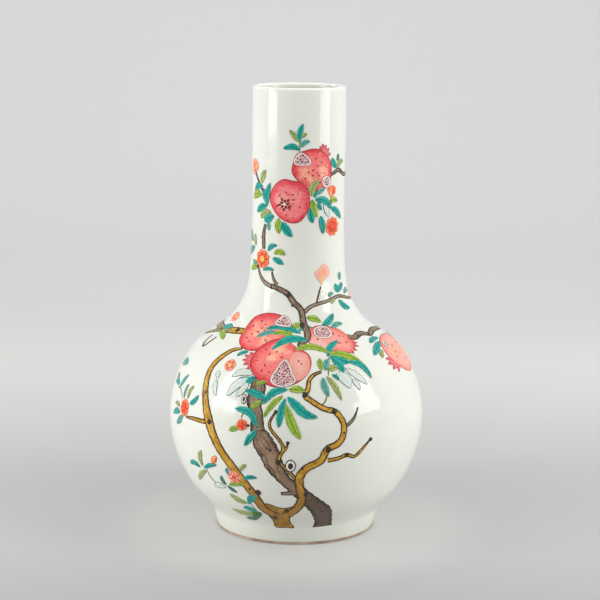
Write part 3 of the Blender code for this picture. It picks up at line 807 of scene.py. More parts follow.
# Leaves, bottom coat first: node -> [(tone, width, then the azimuth and rise of each point
# from its base to its tip), ...]
LEAVES = {
    "leaves_belly": [
        ("green", 4.5, -6, 136, -10, 130, -14.5, 117), ("green", 3.8, -15.5, 131, -18, 128, -21, 124),
        ("teal", 5.5, -4, 141, -10, 139, -15, 128), ("teal", 5.5, -14, 133, -20, 137, -24.5, 138),
        ("teal", 5.4, -7.5, 110, -7, 120, -5, 134), ("green", 6.8, 2, 101, -1.5, 112, -4.5, 129),
        ("teal", 6.8, -4, 135, 0, 128, 4, 121.5, 9.5, 118.5), ("green", 5.5, -3.5, 141, 0, 141.5, 4, 140),
        ("green", 3, -20, 143, -17, 146, -14, 146.5), ("teal", 5.5, -28, 122.5, -20.5, 120, -17, 109),
        ("green", 4.2, -30, 104, -28, 106, -25, 107.5), ("teal", 4.8, -17, 107, -20, 100, -22.5, 93),
    ],
    "leaves_shoulder_middle": [
        ("mist", 3.2, 0, 199, 8, 203, 13, 203), ("green", 5.5, -3, 194, -10, 197.5, -19, 195),
        ("mist", 5, -17, 198, -24, 196, -31, 190), ("teal", 4.8, 3, 197, -10, 202.5, -27, 200),
        ("teal", 7.2, 8, 189, 0, 191, -7, 189.5, -12, 184, -15.5, 177),
        ("green", 5, -3, 203, 0, 205, 3, 205.5), ("green", 6.2, -1, 178, 8, 182, 20, 174),
        ("green", 5, 9, 212, 15, 211, 22, 207.5), ("teal", 5, 22, 204, 30, 208, 37, 214),
        ("mist", 4, 30, 201, 36, 204, 43, 204),
    ],
    "leaves_shoulder_right": [
        ("pale", 5.5, 26, 158, 31, 151, 36, 142), ("pale", 4.5, 28, 148, 30, 144, 31, 138),
        ("olive", 4.6, 15, 152, 17.5, 146, 21, 131), ("pale", 9, 20, 153, 24, 150, 26, 140.5),
        ("teal", 5, 18, 170, 21, 179, 30, 187.5), ("green", 6.5, 19, 173, 27, 171.5, 37.5, 160),
        ("teal", 6, 19, 170, 24, 166, 30, 162.5), ("teal", 5.2, 29, 163.5, 36, 159, 39.5, 146.5),
        ("teal", 6.2, 20, 168, 23, 162, 24.5, 154), ("mist", 4.4, 18, 168, 16, 163, 15, 157),
        ("green", 4, 13, 168.5, 12.6, 163, 13, 157), ("olive", 5.2, 16.3, 158, 19, 159, 22, 158.5),
        ("mist", 5, 13, 151, 13.4, 144, 15, 135), ("teal", 3, 18, 153, 20, 151, 21, 148),
    ],
    "leaves_left_side": [
        ("pale", 4.6, -43, 151, -42, 147, -41, 145), ("pale", 4.4, -42, 144, -41.5, 137, -39.5, 130),
        ("pale", 5.5, -22, 152, -27, 153.5, -33.5, 148), ("mist", 3, -24, 149.5, -28, 147, -31.5, 142),
        ("pale", 7, -22.5, 148, -28, 144, -33.5, 131.5), ("pale", 5.2, -23.5, 146, -26, 138, -28.5, 132),
        ("teal", 5, -25, 144.5, -23, 147, -21, 150.5), ("teal", 3.6, -35.5, 167, -33, 171, -29.5, 172.5),
        ("olive", 4, -58.5, 121, -58.5, 127, -56, 133), ("mist", 3.2, -62, 120, -62.5, 126, -61, 133),
        ("teal", 4.2, -56, 118, -53, 121, -50.5, 127), ("olive", 3.4, -65, 112, -68, 113.5, -71, 113),
        ("teal", 4.8, -64, 107.5, -68, 107, -72, 103.5), ("mist", 5.2, -60.5, 106, -63, 102, -66.5, 97),
    ],
    "leaves_left_edge": [
        ("mist", 7, -83, 144, -78, 147.5, -72.5, 147), ("slate", 3.4, -81, 135, -79, 134, -75.5, 131.5),
        ("teal", 5.2, -80.5, 128, -77, 130, -72, 128), ("mist", 4.6, -70.5, 126, -68, 133, -64.5, 140),
        ("green", 5.5, -71, 188, -63, 185, -56.5, 180), ("teal", 5.5, -61, 193, -68, 194.5, -75, 191.5),
    ],
    "leaves_lower_left": [
        ("olive", 6.5, -34.5, 44, -31, 38, -25.5, 35.5), ("pale", 5.5, -43, 48, -40, 51, -35.5, 50),
        ("slate", 3.6, -34.5, 52.5, -32.5, 50, -29.5, 46.5), ("teal", 4, -20.5, 47, -22, 41, -25.5, 36),
        ("green", 4.8, -33, 54, -29, 56.5, -24.5, 56), ("slate", 3.6, -36.3, 62, -36.5, 58, -34.8, 53),
        ("teal", 3.6, -24.5, 62.5, -21, 65, -17.5, 65), ("olive", 3.4, -25.5, 69.5, -24.5, 73, -22, 76.5),
        ("mist", 3.2, -31.5, 64.5, -32.5, 67.5, -32, 71),
        ("olive", 4.6, -46.5, 81.5, -48.2, 74, -47.3, 67),
        ("olive", 4.2, -54.5, 50.5, -50.5, 58, -45.5, 63.5),
        ("teal", 4.4, -57.5, 65.5, -54, 67.5, -49.5, 65),
        ("teal", 3.4, -46.5, 65.5, -42.5, 69.5, -38, 71.5),
    ],
    "leaves_foot_left": [
        ("slate", 5, -33, 10.5, -27, 12.5, -21.5, 18.5), ("olive", 7, -40, 21, -32, 18.5, -23.5, 22),
        ("moss", 7.8, -24.5, 14.5, -23.5, 19.5, -19.5, 23), ("teal", 6.2, -30, 27.5, -26, 27.5, -22, 24),
        ("teal", 3.6, -24.8, 34, -24, 40, -21.8, 47), ("teal", 3, -22.5, 47, -20.8, 44.5, -19.5, 40.5),
    ],
    "leaves_waist_right": [
        ("olive", 4, 38, 222.5, 41.5, 225.5, 45, 225), ("mist", 3.4, 37, 228, 40, 231, 44, 230.5),
        # the white leaf is painted highlight, a leaf washed out by a soft box's reflection
        ("white", 4.4, 26, 225.5, 30, 231.5, 35.5, 231.5), ("teal", 5, 49, 239, 51.5, 234, 57, 232.5),
        ("teal", 4.8, 56, 232.5, 60.5, 236.5, 65, 237), ("mist", 4.4, 58, 248, 59, 245, 58, 241),
        ("teal", 5.4, 50.5, 225, 56, 219, 65, 216), ("mist", 4, 64, 229, 70, 231.5, 76, 230),
        ("teal", 4.4, 54, 178.5, 61, 181.5, 68, 180.5), ("teal", 5.4, 48.5, 165.5, 55, 171.5, 64, 177),
        ("olive", 4.4, 53.5, 161.5, 55.5, 165.5, 58.5, 168.5),
    ],
    "leaves_neck_stem": [
        ("green", 4.6, -30, 265, -23, 267, -15, 264.5), ("teal", 4.6, -32, 261, -25, 259.5, -17, 256.5),
        ("teal", 4, -39, 266.5, -34, 271, -26, 272), ("teal", 3, -46, 250, -38, 252, -29, 251),
        ("mist", 3.8, -69, 256.5, -63, 255, -56, 252), ("green", 5.2, -73, 248.5, -64, 251.5, -54, 252.5),
        ("mist", 6.2, -91, 262, -78, 264.5, -66, 268), ("mist", 7.2, -91, 277, -83, 277, -74, 272.5),
        ("olive", 4.4, -65, 279, -65.5, 274.5, -62.5, 269.5),
    ],
    "leaves_neck_left": [
        ("olive", 5.4, -51.5, 322.5, -49, 329, -43.5, 334.5), ("teal", 5.2, -67, 315, -60, 320, -49, 320),
        ("teal", 5.4, -40, 306, -44, 311, -49, 318), ("green", 6.4, -72, 309, -61, 313.5, -51, 313),
        ("teal", 4.4, -48, 319, -45.5, 314, -41.5, 308),
        ("teal", 5.2, -41.5, 305, -41.5, 314, -36.5, 324), ("teal", 5.2, -61, 298, -51, 303, -41, 305),
    ],
    "leaves_neck_under": [
        ("mist", 4.2, -38, 291, -39, 288, -37.5, 284), ("olive", 6.2, -53, 293.5, -45, 298.5, -35, 299),
        ("teal", 7, -45.5, 291, -39, 294.5, -31, 296.5), ("green", 5.4, -24, 295, -25.5, 289, -23.5, 282),
        ("teal", 6.2, -20, 292, -14.5, 285.5, -7, 280),
    ],
    "leaves_neck_right": [
        ("teal", 5.2, 44, 345, 47, 341, 53, 336.5), ("slate", 3.4, 55.5, 348, 55.5, 345, 53.5, 342),
        ("olive", 4.8, 54, 336.5, 61, 341, 69, 341.5), ("olive", 5.6, 16, 314, 18, 322, 27, 327),
        ("mist", 4, 25, 315, 28, 318.5, 34, 319), ("teal", 3.2, 20.5, 312.5, 21, 315.5, 23.5, 318),
        ("pale", 4.4, 33, 307, 36.5, 302, 41, 295.5), ("green", 4.4, 42, 309, 49, 310, 56, 308),
        ("teal", 5.4, 21, 311, 32, 310.5, 44, 302.5), ("teal", 5, 43, 303.5, 52, 301, 65, 293),
        ("green", 5.4, 17.5, 311, 19, 303, 23.5, 296), ("teal", 4.8, 14.5, 304, 15.5, 298, 18.5, 291.5),
        ("teal", 3.4, 25.5, 309, 26.5, 305.5, 29.5, 302), ("teal", 5.2, 28.5, 297, 31, 290, 32, 282),
    ],
    "leaves_neck_top": [
        ("mist", 4.2, 2.5, 354.5, 7, 358.5, 13.5, 359.5), ("teal", 4.8, 1, 352.5, -8, 355, -19, 353),
        ("olive", 4.4, -1, 359, -6, 364.5, -11.5, 368.5), ("teal", 4.4, 1, 359, 1.2, 367, 5, 374),
        ("olive", 3.4, 4.5, 362.5, 7, 365, 10, 365),
    ],
    "leaves_back_shoulder": [
        ("teal", 6, 110, 172, 117, 178, 128, 178), ("green", 5.5, 110, 184, 117, 182, 124, 186),
        ("teal", 5, 108, 168, 112, 162, 114, 154), ("mist", 4.5, 104, 174, 103, 167, 105, 160),
        ("teal", 5, 168, 174, 174, 180, 182, 182), ("green", 5, 176, 171, 181, 163, 188, 158),
        ("teal", 5, 190, 168, 194, 175, 201, 178), ("teal", 4.6, 188, 167, 184, 160, 181, 152),
    ],
    "leaves_back_belly": [
        ("teal", 6, 148, 140, 154, 146, 162, 147), ("green", 5.5, 148, 138, 141, 142, 134, 140),
        ("teal", 5, 152, 137, 160, 134, 166, 128), ("olive", 4.5, 146, 143, 143, 149, 145, 155),
    ],
    "leaves_back_neck": [
        ("teal", 5, 172, 282, 164, 279, 156, 272), ("green", 5, 172, 281, 181, 278, 188, 271),
        ("teal", 4.6, 172, 279, 171, 271, 174, 263), ("teal", 4.8, 121, 341, 126, 347, 134, 350),
        ("green", 4.6, 121, 342, 116, 348, 110, 351), ("teal", 4.6, 120, 340, 127, 338, 136, 335),
        ("olive", 4.4, 134, 319, 132, 311, 127, 304), ("teal", 4.6, 138, 317, 142, 309, 141, 300),
    ],
}

# Branches: node -> (record slot, [(bark, layer, then the azimuth, rise and width of each
# point), ...])
BRANCHES = {
    "trunk": ("brown_enamel", [
        ("taupe", 0, (-15.3, 100, 11), (-16.5, 106, 12), (-17, 112, 12), (-16.8, 118, 8.5),
        (-18, 124, 10), (-19, 130, 14.5), (-18.5, 136, 14), (-18.5, 146, 12.5), (-18.5, 150, 8)),
        ("brown", 0, (18.7, 4.5, 17), (18.2, 12, 14.5), (16.5, 20, 16), (14.5, 28, 17), (11, 35.5, 15.5),
        (7.5, 42, 14), (4, 48.5, 13), (0, 56, 11.5), (-4, 63, 10.5), (-7, 70, 12), (-9.6, 79, 16),
        (-11.3, 88, 17.5), (-13.8, 96, 18), (-15.2, 103, 15), (-15.6, 107, 10)),
        ("taupe", 0, (0, 52, 6), (-4, 51, 4.5), (-6.8, 50.5, 3.5)),
    ]),
    "bough_left": ("ochre_enamel", [
        ("ochre", 1, (-41, 108, 4.5), (-46, 107, 4), (-51, 107, 3.6), (-58, 106, 2)),
        ("limb", 2, (-12, 22, 9), (-17, 30, 9), (-19, 40, 8.5), (-24, 58, 8), (-29, 72, 8.5),
        (-33.5, 83, 8), (-38, 96, 8.5), (-41.5, 109, 9.5), (-45, 123, 7.5), (-48, 139, 6.5),
        (-48.5, 152, 6), (-45.5, 163, 5.5), (-40, 172.5, 4.5), (-35, 175, 2.5)),
    ]),
    "bough_right": ("ochre_enamel", [
        ("ochre", 2, (14, 82.5, 4), (20, 84.5, 3.5), (23, 86, 3.5), (25.5, 84, 3), (29, 88, 3),
        (34, 97, 1.5)),
        ("faded", 2, (21, 109, 3.2), (25.5, 115, 2.6), (28.5, 124.5, 1)),
        ("ochre", 2, (0, 66, 3), (-5, 77, 3.2), (-7.3, 83, 3.6), (-5.5, 92, 3), (-8, 102, 2.8),
        (-11.5, 112, 2.4), (-9, 122.5, 1.8)),
        ("ochre", 2, (-5.5, 90, 2.6), (-4, 94, 2.4), (-3.4, 97.5, 1.6)),
        ("limb", 3, (-5.5, 22, 9), (-1, 29, 8.5), (2.2, 38, 8), (3.2, 48, 7.5), (2, 58, 7.5),
        (1.7, 66, 7.5), (5.5, 77, 7), (11.5, 84, 6.5), (13.5, 92, 6.2), (17, 95, 6), (20, 100, 5.5),
        (21, 106, 5.2), (21, 112, 5.2), (19.5, 118, 5), (17, 123, 5), (14, 124.5, 4.8), (10, 128, 4.6),
        (6, 133, 4.6), (4, 137, 4.8), (5.2, 141, 4.2), (6, 148, 3.6), (9, 154, 3.2), (12.5, 156, 2.2)),
    ]),
    "branch_waist": ("brown_enamel", [
        ("twig", 1, (-29, 237, 4.2), (-38, 239, 3.8), (-46, 242.5, 3.4), (-55.5, 252.5, 2.4)),
        ("twig", 1, (-24, 239, 3.2), (-28.5, 243, 2.6), (-32, 250, 1.8)),
        ("twig", 1, (7.5, 217, 4), (12, 220.5, 3.4), (22, 223.5, 3.2), (38, 226, 3), (52, 228, 3),
        (68, 225, 2.8), (84, 223, 2.2)),
        ("twig", 1, (20.5, 223, 1.5), (24, 231, 1.4), (28, 238, 1.3)),
        ("taupe", 2, (2.5, 181, 5), (3, 186, 5.4), (6.5, 190, 5.8), (8, 199, 5.6), (5.5, 209, 5.6),
        (3.5, 219, 5.4), (-4, 225.5, 5), (-9.5, 231, 5), (-20, 235.5, 4.6), (-32, 238, 4)),
        ("taupe", 1, (-44, 289, 2.5), (-46.5, 283, 3.8), (-47, 277, 4.2), (-46, 268, 4)),
        ("taupe", 1, (-46.5, 278, 2.6), (-51, 277.5, 1.8)),
    ]),
    "branch_right": ("brown_enamel", [
        ("taupe", 1, (40, 190, 6.5), (45, 188, 5.5), (50, 190, 6), (58, 190, 5.5), (63, 187.5, 5),
        (70, 189, 5.5), (80, 189, 5.5), (96, 184, 4)),
        ("taupe", 1, (43, 331, 2.5), (50, 333, 3.5), (57, 334.5, 3.8), (64, 332.5, 3.6), (70, 330.5, 3.6),
        (90, 329.5, 3.4), (112, 327, 3.2), (135, 319, 3), (154, 309, 2.4)),
        ("taupe", 1, (112, 327, 2.4), (118, 334, 2), (121, 342, 1.4)),
    ]),
    "branch_left": ("ochre_enamel", [
        ("faded", 0, (-72, 188, 5), (-80, 184, 6), (-92, 174, 4)),
        ("faded", 0, (-59, 192, 7), (-68, 190.5, 8), (-80, 190, 8), (-97, 190, 7.5), (-115, 186, 7),
        (-128, 178, 5)),
        ("ochre", 1, (-44, 194, 6), (-53, 193, 8), (-62, 191.5, 7.5)),
        ("faded", 1, (-66, 180, 2.4), (-67, 172, 2.2), (-69, 167, 2.2), (-72, 170, 2), (-74, 180, 1.6)),
        ("taupe", 1, (-67, 333, 2.6), (-60, 326, 2.6), (-48, 315, 2.4), (-42, 308, 2)),
    ]),
    "branch_back": ("ochre_enamel", [
        ("ochre", 0, (104, 184, 5), (129, 178, 6.5), (150, 172, 7), (172, 172, 7), (198, 166, 6.5),
        (216, 163, 4)),
        ("taupe", 0, (150, 172, 4), (152, 160, 3.4), (149, 146, 3), (150, 130, 2.4)),
    ]),
}

# Knots: node -> [(azimuth, rise, width, height, ring or nothing), ...]
KNOTS = {
    "trunk": [
        (-2.2, 78, 8.6, 11, "white"), (5, 50, 3, 4, "stump"), (-21, 110, 2, 2.4, None),
        (-22, 127, 2, 2.4, None), (-24.3, 131, 4.8, 8.4, "white"), (15, 27, 2.2, 3, None),
        (-11, 91, 1.8, 2.6, None),
    ],
    "bough_left": [
        (-18, 50, 3.4, 4.4, "ochre"), (-22, 53, 1.8, 2.4, None), (-41, 108, 3.2, 3.6, "ochre"),
        (-12, 17, 2.4, 3.4, "stump"), (-4.5, 29.5, 3.2, 4.2, "stump"), (-46, 131, 1.8, 2.4, None),
    ],
    "bough_right": [
        (-7.5, 81, 3.2, 3.6, "ochre"), (14, 92, 3.6, 4.2, "ochre"), (17, 123, 3.4, 3.6, "ochre"),
        (4, 137, 3.4, 3.4, "ochre"), (22.5, 86, 2.6, 3, "ochre"), (3, 76, 2.2, 2.8, None),
        (21, 105, 1.6, 2.2, None), (34, 97, 2.4, 2.4, "ochre"), (-3.4, 97.8, 2.2, 2.2, "ochre"),
        (-9, 122.8, 2.2, 2.2, "ochre"),
    ],
    "branch_waist": [
        (4.5, 205, 3.4, 4, "twig"), (-9.6, 231.5, 3, 3, "twig"), (-5, 222.5, 2, 2.4, None),
        (3, 213, 1.8, 2.2, None), (-55.5, 252.5, 2.2, 2.2, "twig"),
    ],
    "branch_right": [
        (50, 189, 2, 2, None), (63, 188, 2.4, 2.8, "twig"),
    ],
    "branch_left": [
        (-52, 193.5, 3, 3.4, "ochre"), (-74, 189, 2, 2.4, None),
    ],
    "branch_back": [
        (140, 175, 3, 3.4, "ochre"), (180, 171, 2.4, 2.8, None),
    ],
}


def petal_taper(share):
    """Return a petal's width from its narrow base to its broad end."""
    return np.clip(np.sin(math.pi * share**1.7), 0.0, 1.0) ** 0.55 * 0.9 + 0.1


def around(azimuth, rise, reach, angle):
    """Return the place at a distance from another one, in a direction in degrees."""
    place = beside(azimuth, rise, reach * math.cos(math.radians(angle)),
                   reach * math.sin(math.radians(angle)))
    return float(place[0]), float(place[1])


def spot(painting, azimuth, rise, width, height, layer, material, tilt=0.0):
    """Paint a small oval."""
    blob(painting, oval(azimuth, rise, width, height, tilt), layer, MATERIALS[material], tilt)


def blossom(painting, tone, azimuth, rise, radius, count, layer, turned_by, heart, rim_tone):
    """Paint an open flower: petals, then a heart with a ragged rim and dark stamens."""
    for k in range(count):
        angle = turned_by + 360.0 * k / count
        path = [around(azimuth, rise, radius * reach, angle) for reach in (0.08, 0.55, 1.0)]
        ribbon(painting, path, [radius * 4.9 / count], layer + 0.5 * (k % 2), MATERIALS[tone],
               k + azimuth, taper=petal_taper, wobble=0.03)
    if rim_tone is not None:
        for k in range(9):
            inner = around(azimuth, rise, 0.15 * radius, turned_by + 40.0 * k)
            outer = around(azimuth, rise, radius * (0.50 + 0.10 * (k % 2)), turned_by + 40.0 * k)
            ribbon(painting, [inner, outer], [0.30 * radius], layer + 1, MATERIALS[rim_tone], k,
                   taper=petal_taper)
    spot(painting, azimuth, rise, 0.72 * radius, 0.72 * radius, layer + 2, heart)
    for k in range(count):
        angle = turned_by + 360.0 * (k + 0.5) / count
        place = around(azimuth, rise, radius * (0.42 + 0.10 * (k % 2)), angle)
        spot(painting, *place, 1.5, 0.8, layer + 3, "crimson", angle)


def star(painting, azimuth, rise, size, layer):
    """Paint the pale eye of a fruit with two rings of thick crimson blotches."""
    spot(painting, azimuth, rise, size, 0.9 * size, layer, "shell")
    for k in range(10):
        place = around(azimuth, rise, size * (0.70 + 0.50 * (k % 2)), 36.0 * k + 10.0)
        spot(painting, *place, 3.2, 2.1, layer + 1, "maroon", 36.0 * k + 10.0)


def crown(painting, root, tips, width, layer):
    """Paint a fruit's crown as a fan of pointed lobes with crimson veins."""
    for k, tip in enumerate(tips):
        middle = (0.5 * (root[0] + tip[0]), 0.5 * (root[1] + tip[1]))
        ribbon(painting, [root, middle, tip], [width], layer + 0.3 * (k % 2),
               MATERIALS["crown"], k, taper=leaf_taper)
        dash(painting, MATERIALS["crimson"], VEIN_WIDTH, [middle, tip], layer + 1, k)


def fruit(name, body, centre, glows, layer=1, tone="rose", fan=None, window=(), husk=(),
          eye=None, marks=()):
    """Paint one pomegranate with its crown, split husk, seeds and marks."""
    painting = Painting(name, "rose_enamel")
    if fan is not None:
        crown(painting, fan[0], fan[1], fan[2], layer - 1)
    blob(painting, body, layer, MATERIALS[tone], centre[0], centre=centre, glows=glows)
    for outline in husk:
        blob(painting, outline, layer + 1, MATERIALS["husk"], 2.0)
    for outline in window:
        blob(painting, outline, layer + 2, MATERIALS["seeds"], 5.0)
    if eye is not None:
        star(painting, *eye, layer + 1)
    for k, (azimuth, rise) in enumerate(marks):
        spot(painting, azimuth, rise, 2.5 - 0.3 * (k % 3), 1.3, layer + 3, "crimson", 40.0 * k)
    painting.finish()


def paint_fruits():
    """Paint the eight pomegranates."""
    fruit("pomegranate_shoulder_left",
          [(-46, 200), (-44, 208), (-35, 213.5), (-25, 215), (-12, 212.5), (-4, 205),
           (-4, 197), (-12, 187), (-20, 178), (-28, 174), (-37, 177), (-44, 187)],
          (-26, 195), [((-31, 197), 13), ((-22, 190), 12)],
          window=[[(-13, 214), (-17, 211), (-20, 205.5), (-12.5, 203), (-5, 204), (-8, 211)]],
          marks=[(-32, 196), (-30, 200), (-27, 198), (-39, 201), (-33, 207), (-28, 204),
                 (-22, 187), (-36, 193), (-34, 184), (-38, 188)])
    fruit("pomegranate_belly",
          [(-25, 175), (-26, 165), (-23, 154), (-16, 145.5), (-8, 142.5), (0, 146.5),
           (5, 153), (8, 164), (6, 175), (0, 181), (-5, 187), (-14, 190), (-21, 185)],
          (-9, 165), [((-9, 179), 12), ((-14, 168), 6)], layer=2,
          fan=[(-21, 165), [(-28.5, 172.5), (-31, 169), (-31, 164), (-29.5, 160),
                            (-26.5, 156)], 4.6],
          husk=[[(-4.5, 166), (-3, 158), (-0.5, 148), (3, 150), (6.5, 157), (7.5, 165),
                 (6.5, 172), (3, 176), (-1, 176), (-4, 171)]],
          window=[[(-12.8, 147.5), (-11.8, 155), (-9.3, 163), (-6.5, 168), (-3.6, 163),
                   (-1.6, 155), (-0.2, 148), (-3.5, 144), (-9, 143)]],
          marks=[(-8.5, 169.5), (1, 166), (2.5, 163.5), (-17, 161), (-18, 156), (-14, 155),
                 (-16, 172), (-12, 175), (-19, 177)])
    fruit("pomegranate_shoulder_right",
          [(8.5, 197), (13, 203), (20, 204.5), (28, 203), (36, 199), (41, 189), (40, 180),
           (34.5, 172), (26, 175), (16, 176), (10, 181), (8, 189)],
          (23, 189), [((14, 187), 10), ((18, 180), 8)], tone="pink",
          fan=[(34, 184), [(43, 191), (44.5, 187), (44, 182), (42.5, 177.5), (38.5, 173),
                           (35, 170)], 4.2],
          window=[[(13, 197), (14.5, 202), (20, 204), (26, 202.5), (28.5, 198), (27, 193),
                   (21, 190.5), (15.5, 192)]],
          marks=[(15, 190), (30, 184), (33, 192), (29, 195), (35, 184)])
    fruit("pomegranate_far_right",
          [(60, 168), (60, 160), (65, 150), (76, 141.5), (88, 144), (97, 153), (98, 168),
           (91, 177), (78, 181), (66, 178)],
          (79, 161), [((73, 163), 10), ((86, 160), 10)], tone="peach",
          window=[oval(68.5, 172, 11, 9, 20)],
          fan=[(67, 155), [(56, 160), (55.5, 155), (57.5, 149.5), (61.5, 145.5)], 5.0],
          marks=[(68, 158), (74, 168), (80, 152), (88, 166), (71, 162)])
    fruit("pomegranate_neck_upper",
          [(-8, 333), (-6, 344), (-2, 349.5), (5, 351.5), (18, 353.5), (28, 352), (37, 347),
           (43, 340), (44, 332), (40, 323), (34, 319.5), (22, 318), (10, 320), (0, 326)],
          # the glow at (29, 335) is painted highlight where a soft box's reflection crosses the fruit
          (18, 336), [((29, 335), 8), ((9, 331), 8), ((14, 325), 7)],
          fan=[(31, 346), [(26, 355.5), (30, 357.5), (34.5, 356.5), (39, 353.5), (42, 349)],
               4.0],
          window=[[(-6, 341), (-3, 348), (1, 350.5), (7, 349.5), (15, 340.5), (5, 339)],
                  oval(36, 325.5, 9.5, 10.5, 20)],
          marks=[(17.5, 331), (17.5, 335.5), (8.5, 329), (25, 331), (23, 339), (27, 325),
                 (12, 334), (21, 345), (29, 342)])
    fruit("pomegranate_neck_lower",
          [(-37, 310), (-34, 319), (-28, 324), (-18, 328), (-8, 327), (3, 325.5),
           (12, 318), (14.5, 309), (9, 298), (0, 292), (-10, 291.5), (-22, 295), (-33, 303)],
          (-11, 309.5), [((-19, 309), 9), ((-2, 314), 8)], layer=3, tone="berry",
          eye=(-17, 307, 3.8),
          marks=[(-6, 311), (-7, 315), (-9, 306), (-11, 303), (-23, 314), (-15, 298),
                 (-27, 305), (2, 305), (-15, 317)])
    fruit("pomegranate_back_left",
          [(-160, 162), (-155, 176), (-143, 182), (-131, 177), (-126, 163), (-131, 148),
           (-143, 142), (-155, 148)],
          (-143, 162), [((-147, 166), 14)],
          fan=[(-150, 151), [(-163, 149), (-162, 143), (-157, 138), (-151, 136)], 5.0],
          window=[oval(-137, 168, 15, 11, -35)], eye=(-148, 158, 3.4),
          marks=[(-150, 170), (-145, 150), (-149, 174), (-137, 155)])
    fruit("pomegranate_back_neck",
          [(152, 300), (157, 312), (170, 317), (184, 313), (191, 301), (186, 288), (172, 283),
           (158, 288)],
          (172, 300), [((168, 302), 9)], tone="pink",
          fan=[(172, 311), [(163, 321), (169, 323.5), (175, 323.5), (181, 320)], 4.2],
          window=[oval(179, 303, 10, 12, 15)], marks=[(162, 304), (165, 295), (168, 309)])


BUD_TONES = {"neck_right": "coral", "neck_left": "blush", "waist": "faint",
             "shoulder_left": "blush"}


def paint_blossoms():
    """Paint the open flowers and the buds."""
    flowers = [
        ("neck_branch", "coral", -48, 259.3, 8.4, 8, 2, 20, "amber", None),
        ("neck_right", "coral", 47, 287.5, 8.4, 9, 1, 50, "ember", "ember"),
        ("left_side", "coral", -60, 113, 7.5, 6, 3, 30, "ember", None),
        ("lower_left", "blush", -29, 63, 6.3, 6, 3, 60, "ember", "shell"),
        ("back_belly", "coral", 150, 120, 9.0, 8, 1, 10, "amber", None),
    ]
    closed = {
        "neck_right": [([(43.5, 311.5), (41, 314), (38, 318), (38.5, 321), (42, 321.5),
                         (45, 322), (49, 321.5), (52.5, 319), (51.5, 315.5), (47, 313)], 1)],
        "neck_left": [([(-57.5, 337), (-62, 341.5), (-69, 342.5), (-75, 340), (-77, 335.5),
                        (-75, 331), (-68, 329), (-61, 332)], 1)],
        "waist": [
            ([(28.5, 239), (25, 243), (20.5, 248), (22, 251.5), (26, 253), (30, 256),
              (35, 256.5), (39.5, 253), (41, 248), (37, 245), (32, 242.5)], 1),
            (oval(85, 226.5, 11, 8, 20), 1),
        ],
        "shoulder_left": [(oval(-71.5, 204.5, 14, 9.5, 0), 1)],
    }
    for name, *rest in flowers:
        painting = Painting("blossom_" + name, "coral_enamel")
        blossom(painting, *rest)
        if name == "left_side":
            blossom(painting, "blush", -37, 157.5, 5.6, 5, 2, 15, "flame", None)
            blossom(painting, "coral", -24, 110, 4.8, 5, 5, 40, "ember", None)
        if name == "lower_left":
            bud(painting, oval(-39, 76, 9.5, 5.4, 52), 2, "coral")
        painting.finish()
    for name, shapes in closed.items():
        painting = Painting("bud_" + name, "coral_enamel")
        for outline, layer in shapes:
            bud(painting, outline, layer, BUD_TONES[name])
        painting.finish()


def bud(painting, outline, layer, tone):
    """Paint a closed bud: a rounded shape with petal edges drawn from its base."""
    outline = np.array(outline, dtype=float)
    middle = outline.mean(axis=0)
    blob(painting, outline, layer, MATERIALS[tone], middle[0])
    for k in (2, 4, 5):
        tip = outline[k] + 0.22 * (middle - outline[k])
        bend = 0.5 * (outline[0] + tip) + 0.30 * (middle - 0.5 * (outline[0] + tip))
        dash(painting, MATERIALS["flame"], VEIN_WIDTH, [outline[0], bend, tip], layer + 1, k)


def paint_leaves():
    """Paint the leaf sprays and their stalks."""
    stalks = {
        "leaves_lower_left": [[(-45, 66), (-44, 58), (-40, 51)],
                              [(-27, 60), (-25, 57), (-22.5, 55)]],
        "leaves_foot_left": [[(-24, 35), (-22.8, 30), (-23.5, 15)]],
        "leaves_left_edge": [[(-73, 126), (-68, 125.5), (-63.5, 118)]],
        "leaves_shoulder_right": [[(14.2, 136), (13, 131), (11, 127.5)],
                                  [(19, 170), (17, 161), (16, 152)]],
        "leaves_neck_top": [[(0.5, 350), (1, 356), (1, 363)]],
        "leaves_shoulder_middle": [[(-6, 171), (-3, 175), (0, 178)]],
        "leaves_belly": [[(-24.5, 115), (-24, 119), (-23, 122)]],
        "leaves_neck_right": [[(44, 311), (44.5, 307), (42, 304)]],
    }
    for node, rows in LEAVES.items():
        painting = Painting(node, "leaf_green_enamel" if node in GREEN_SPRAYS else "teal_enamel")
        for path in stalks.get(node, ()):
            dash(painting, MATERIALS["olive"], STALK_WIDTH, path, 0)
        for k, (tone, width, *places) in enumerate(rows):
            leaf(painting, MATERIALS[tone], width, np.reshape(places, (-1, 2)),
                 1 + LEAF_STEP * k, k + 1.0)
        painting.finish()


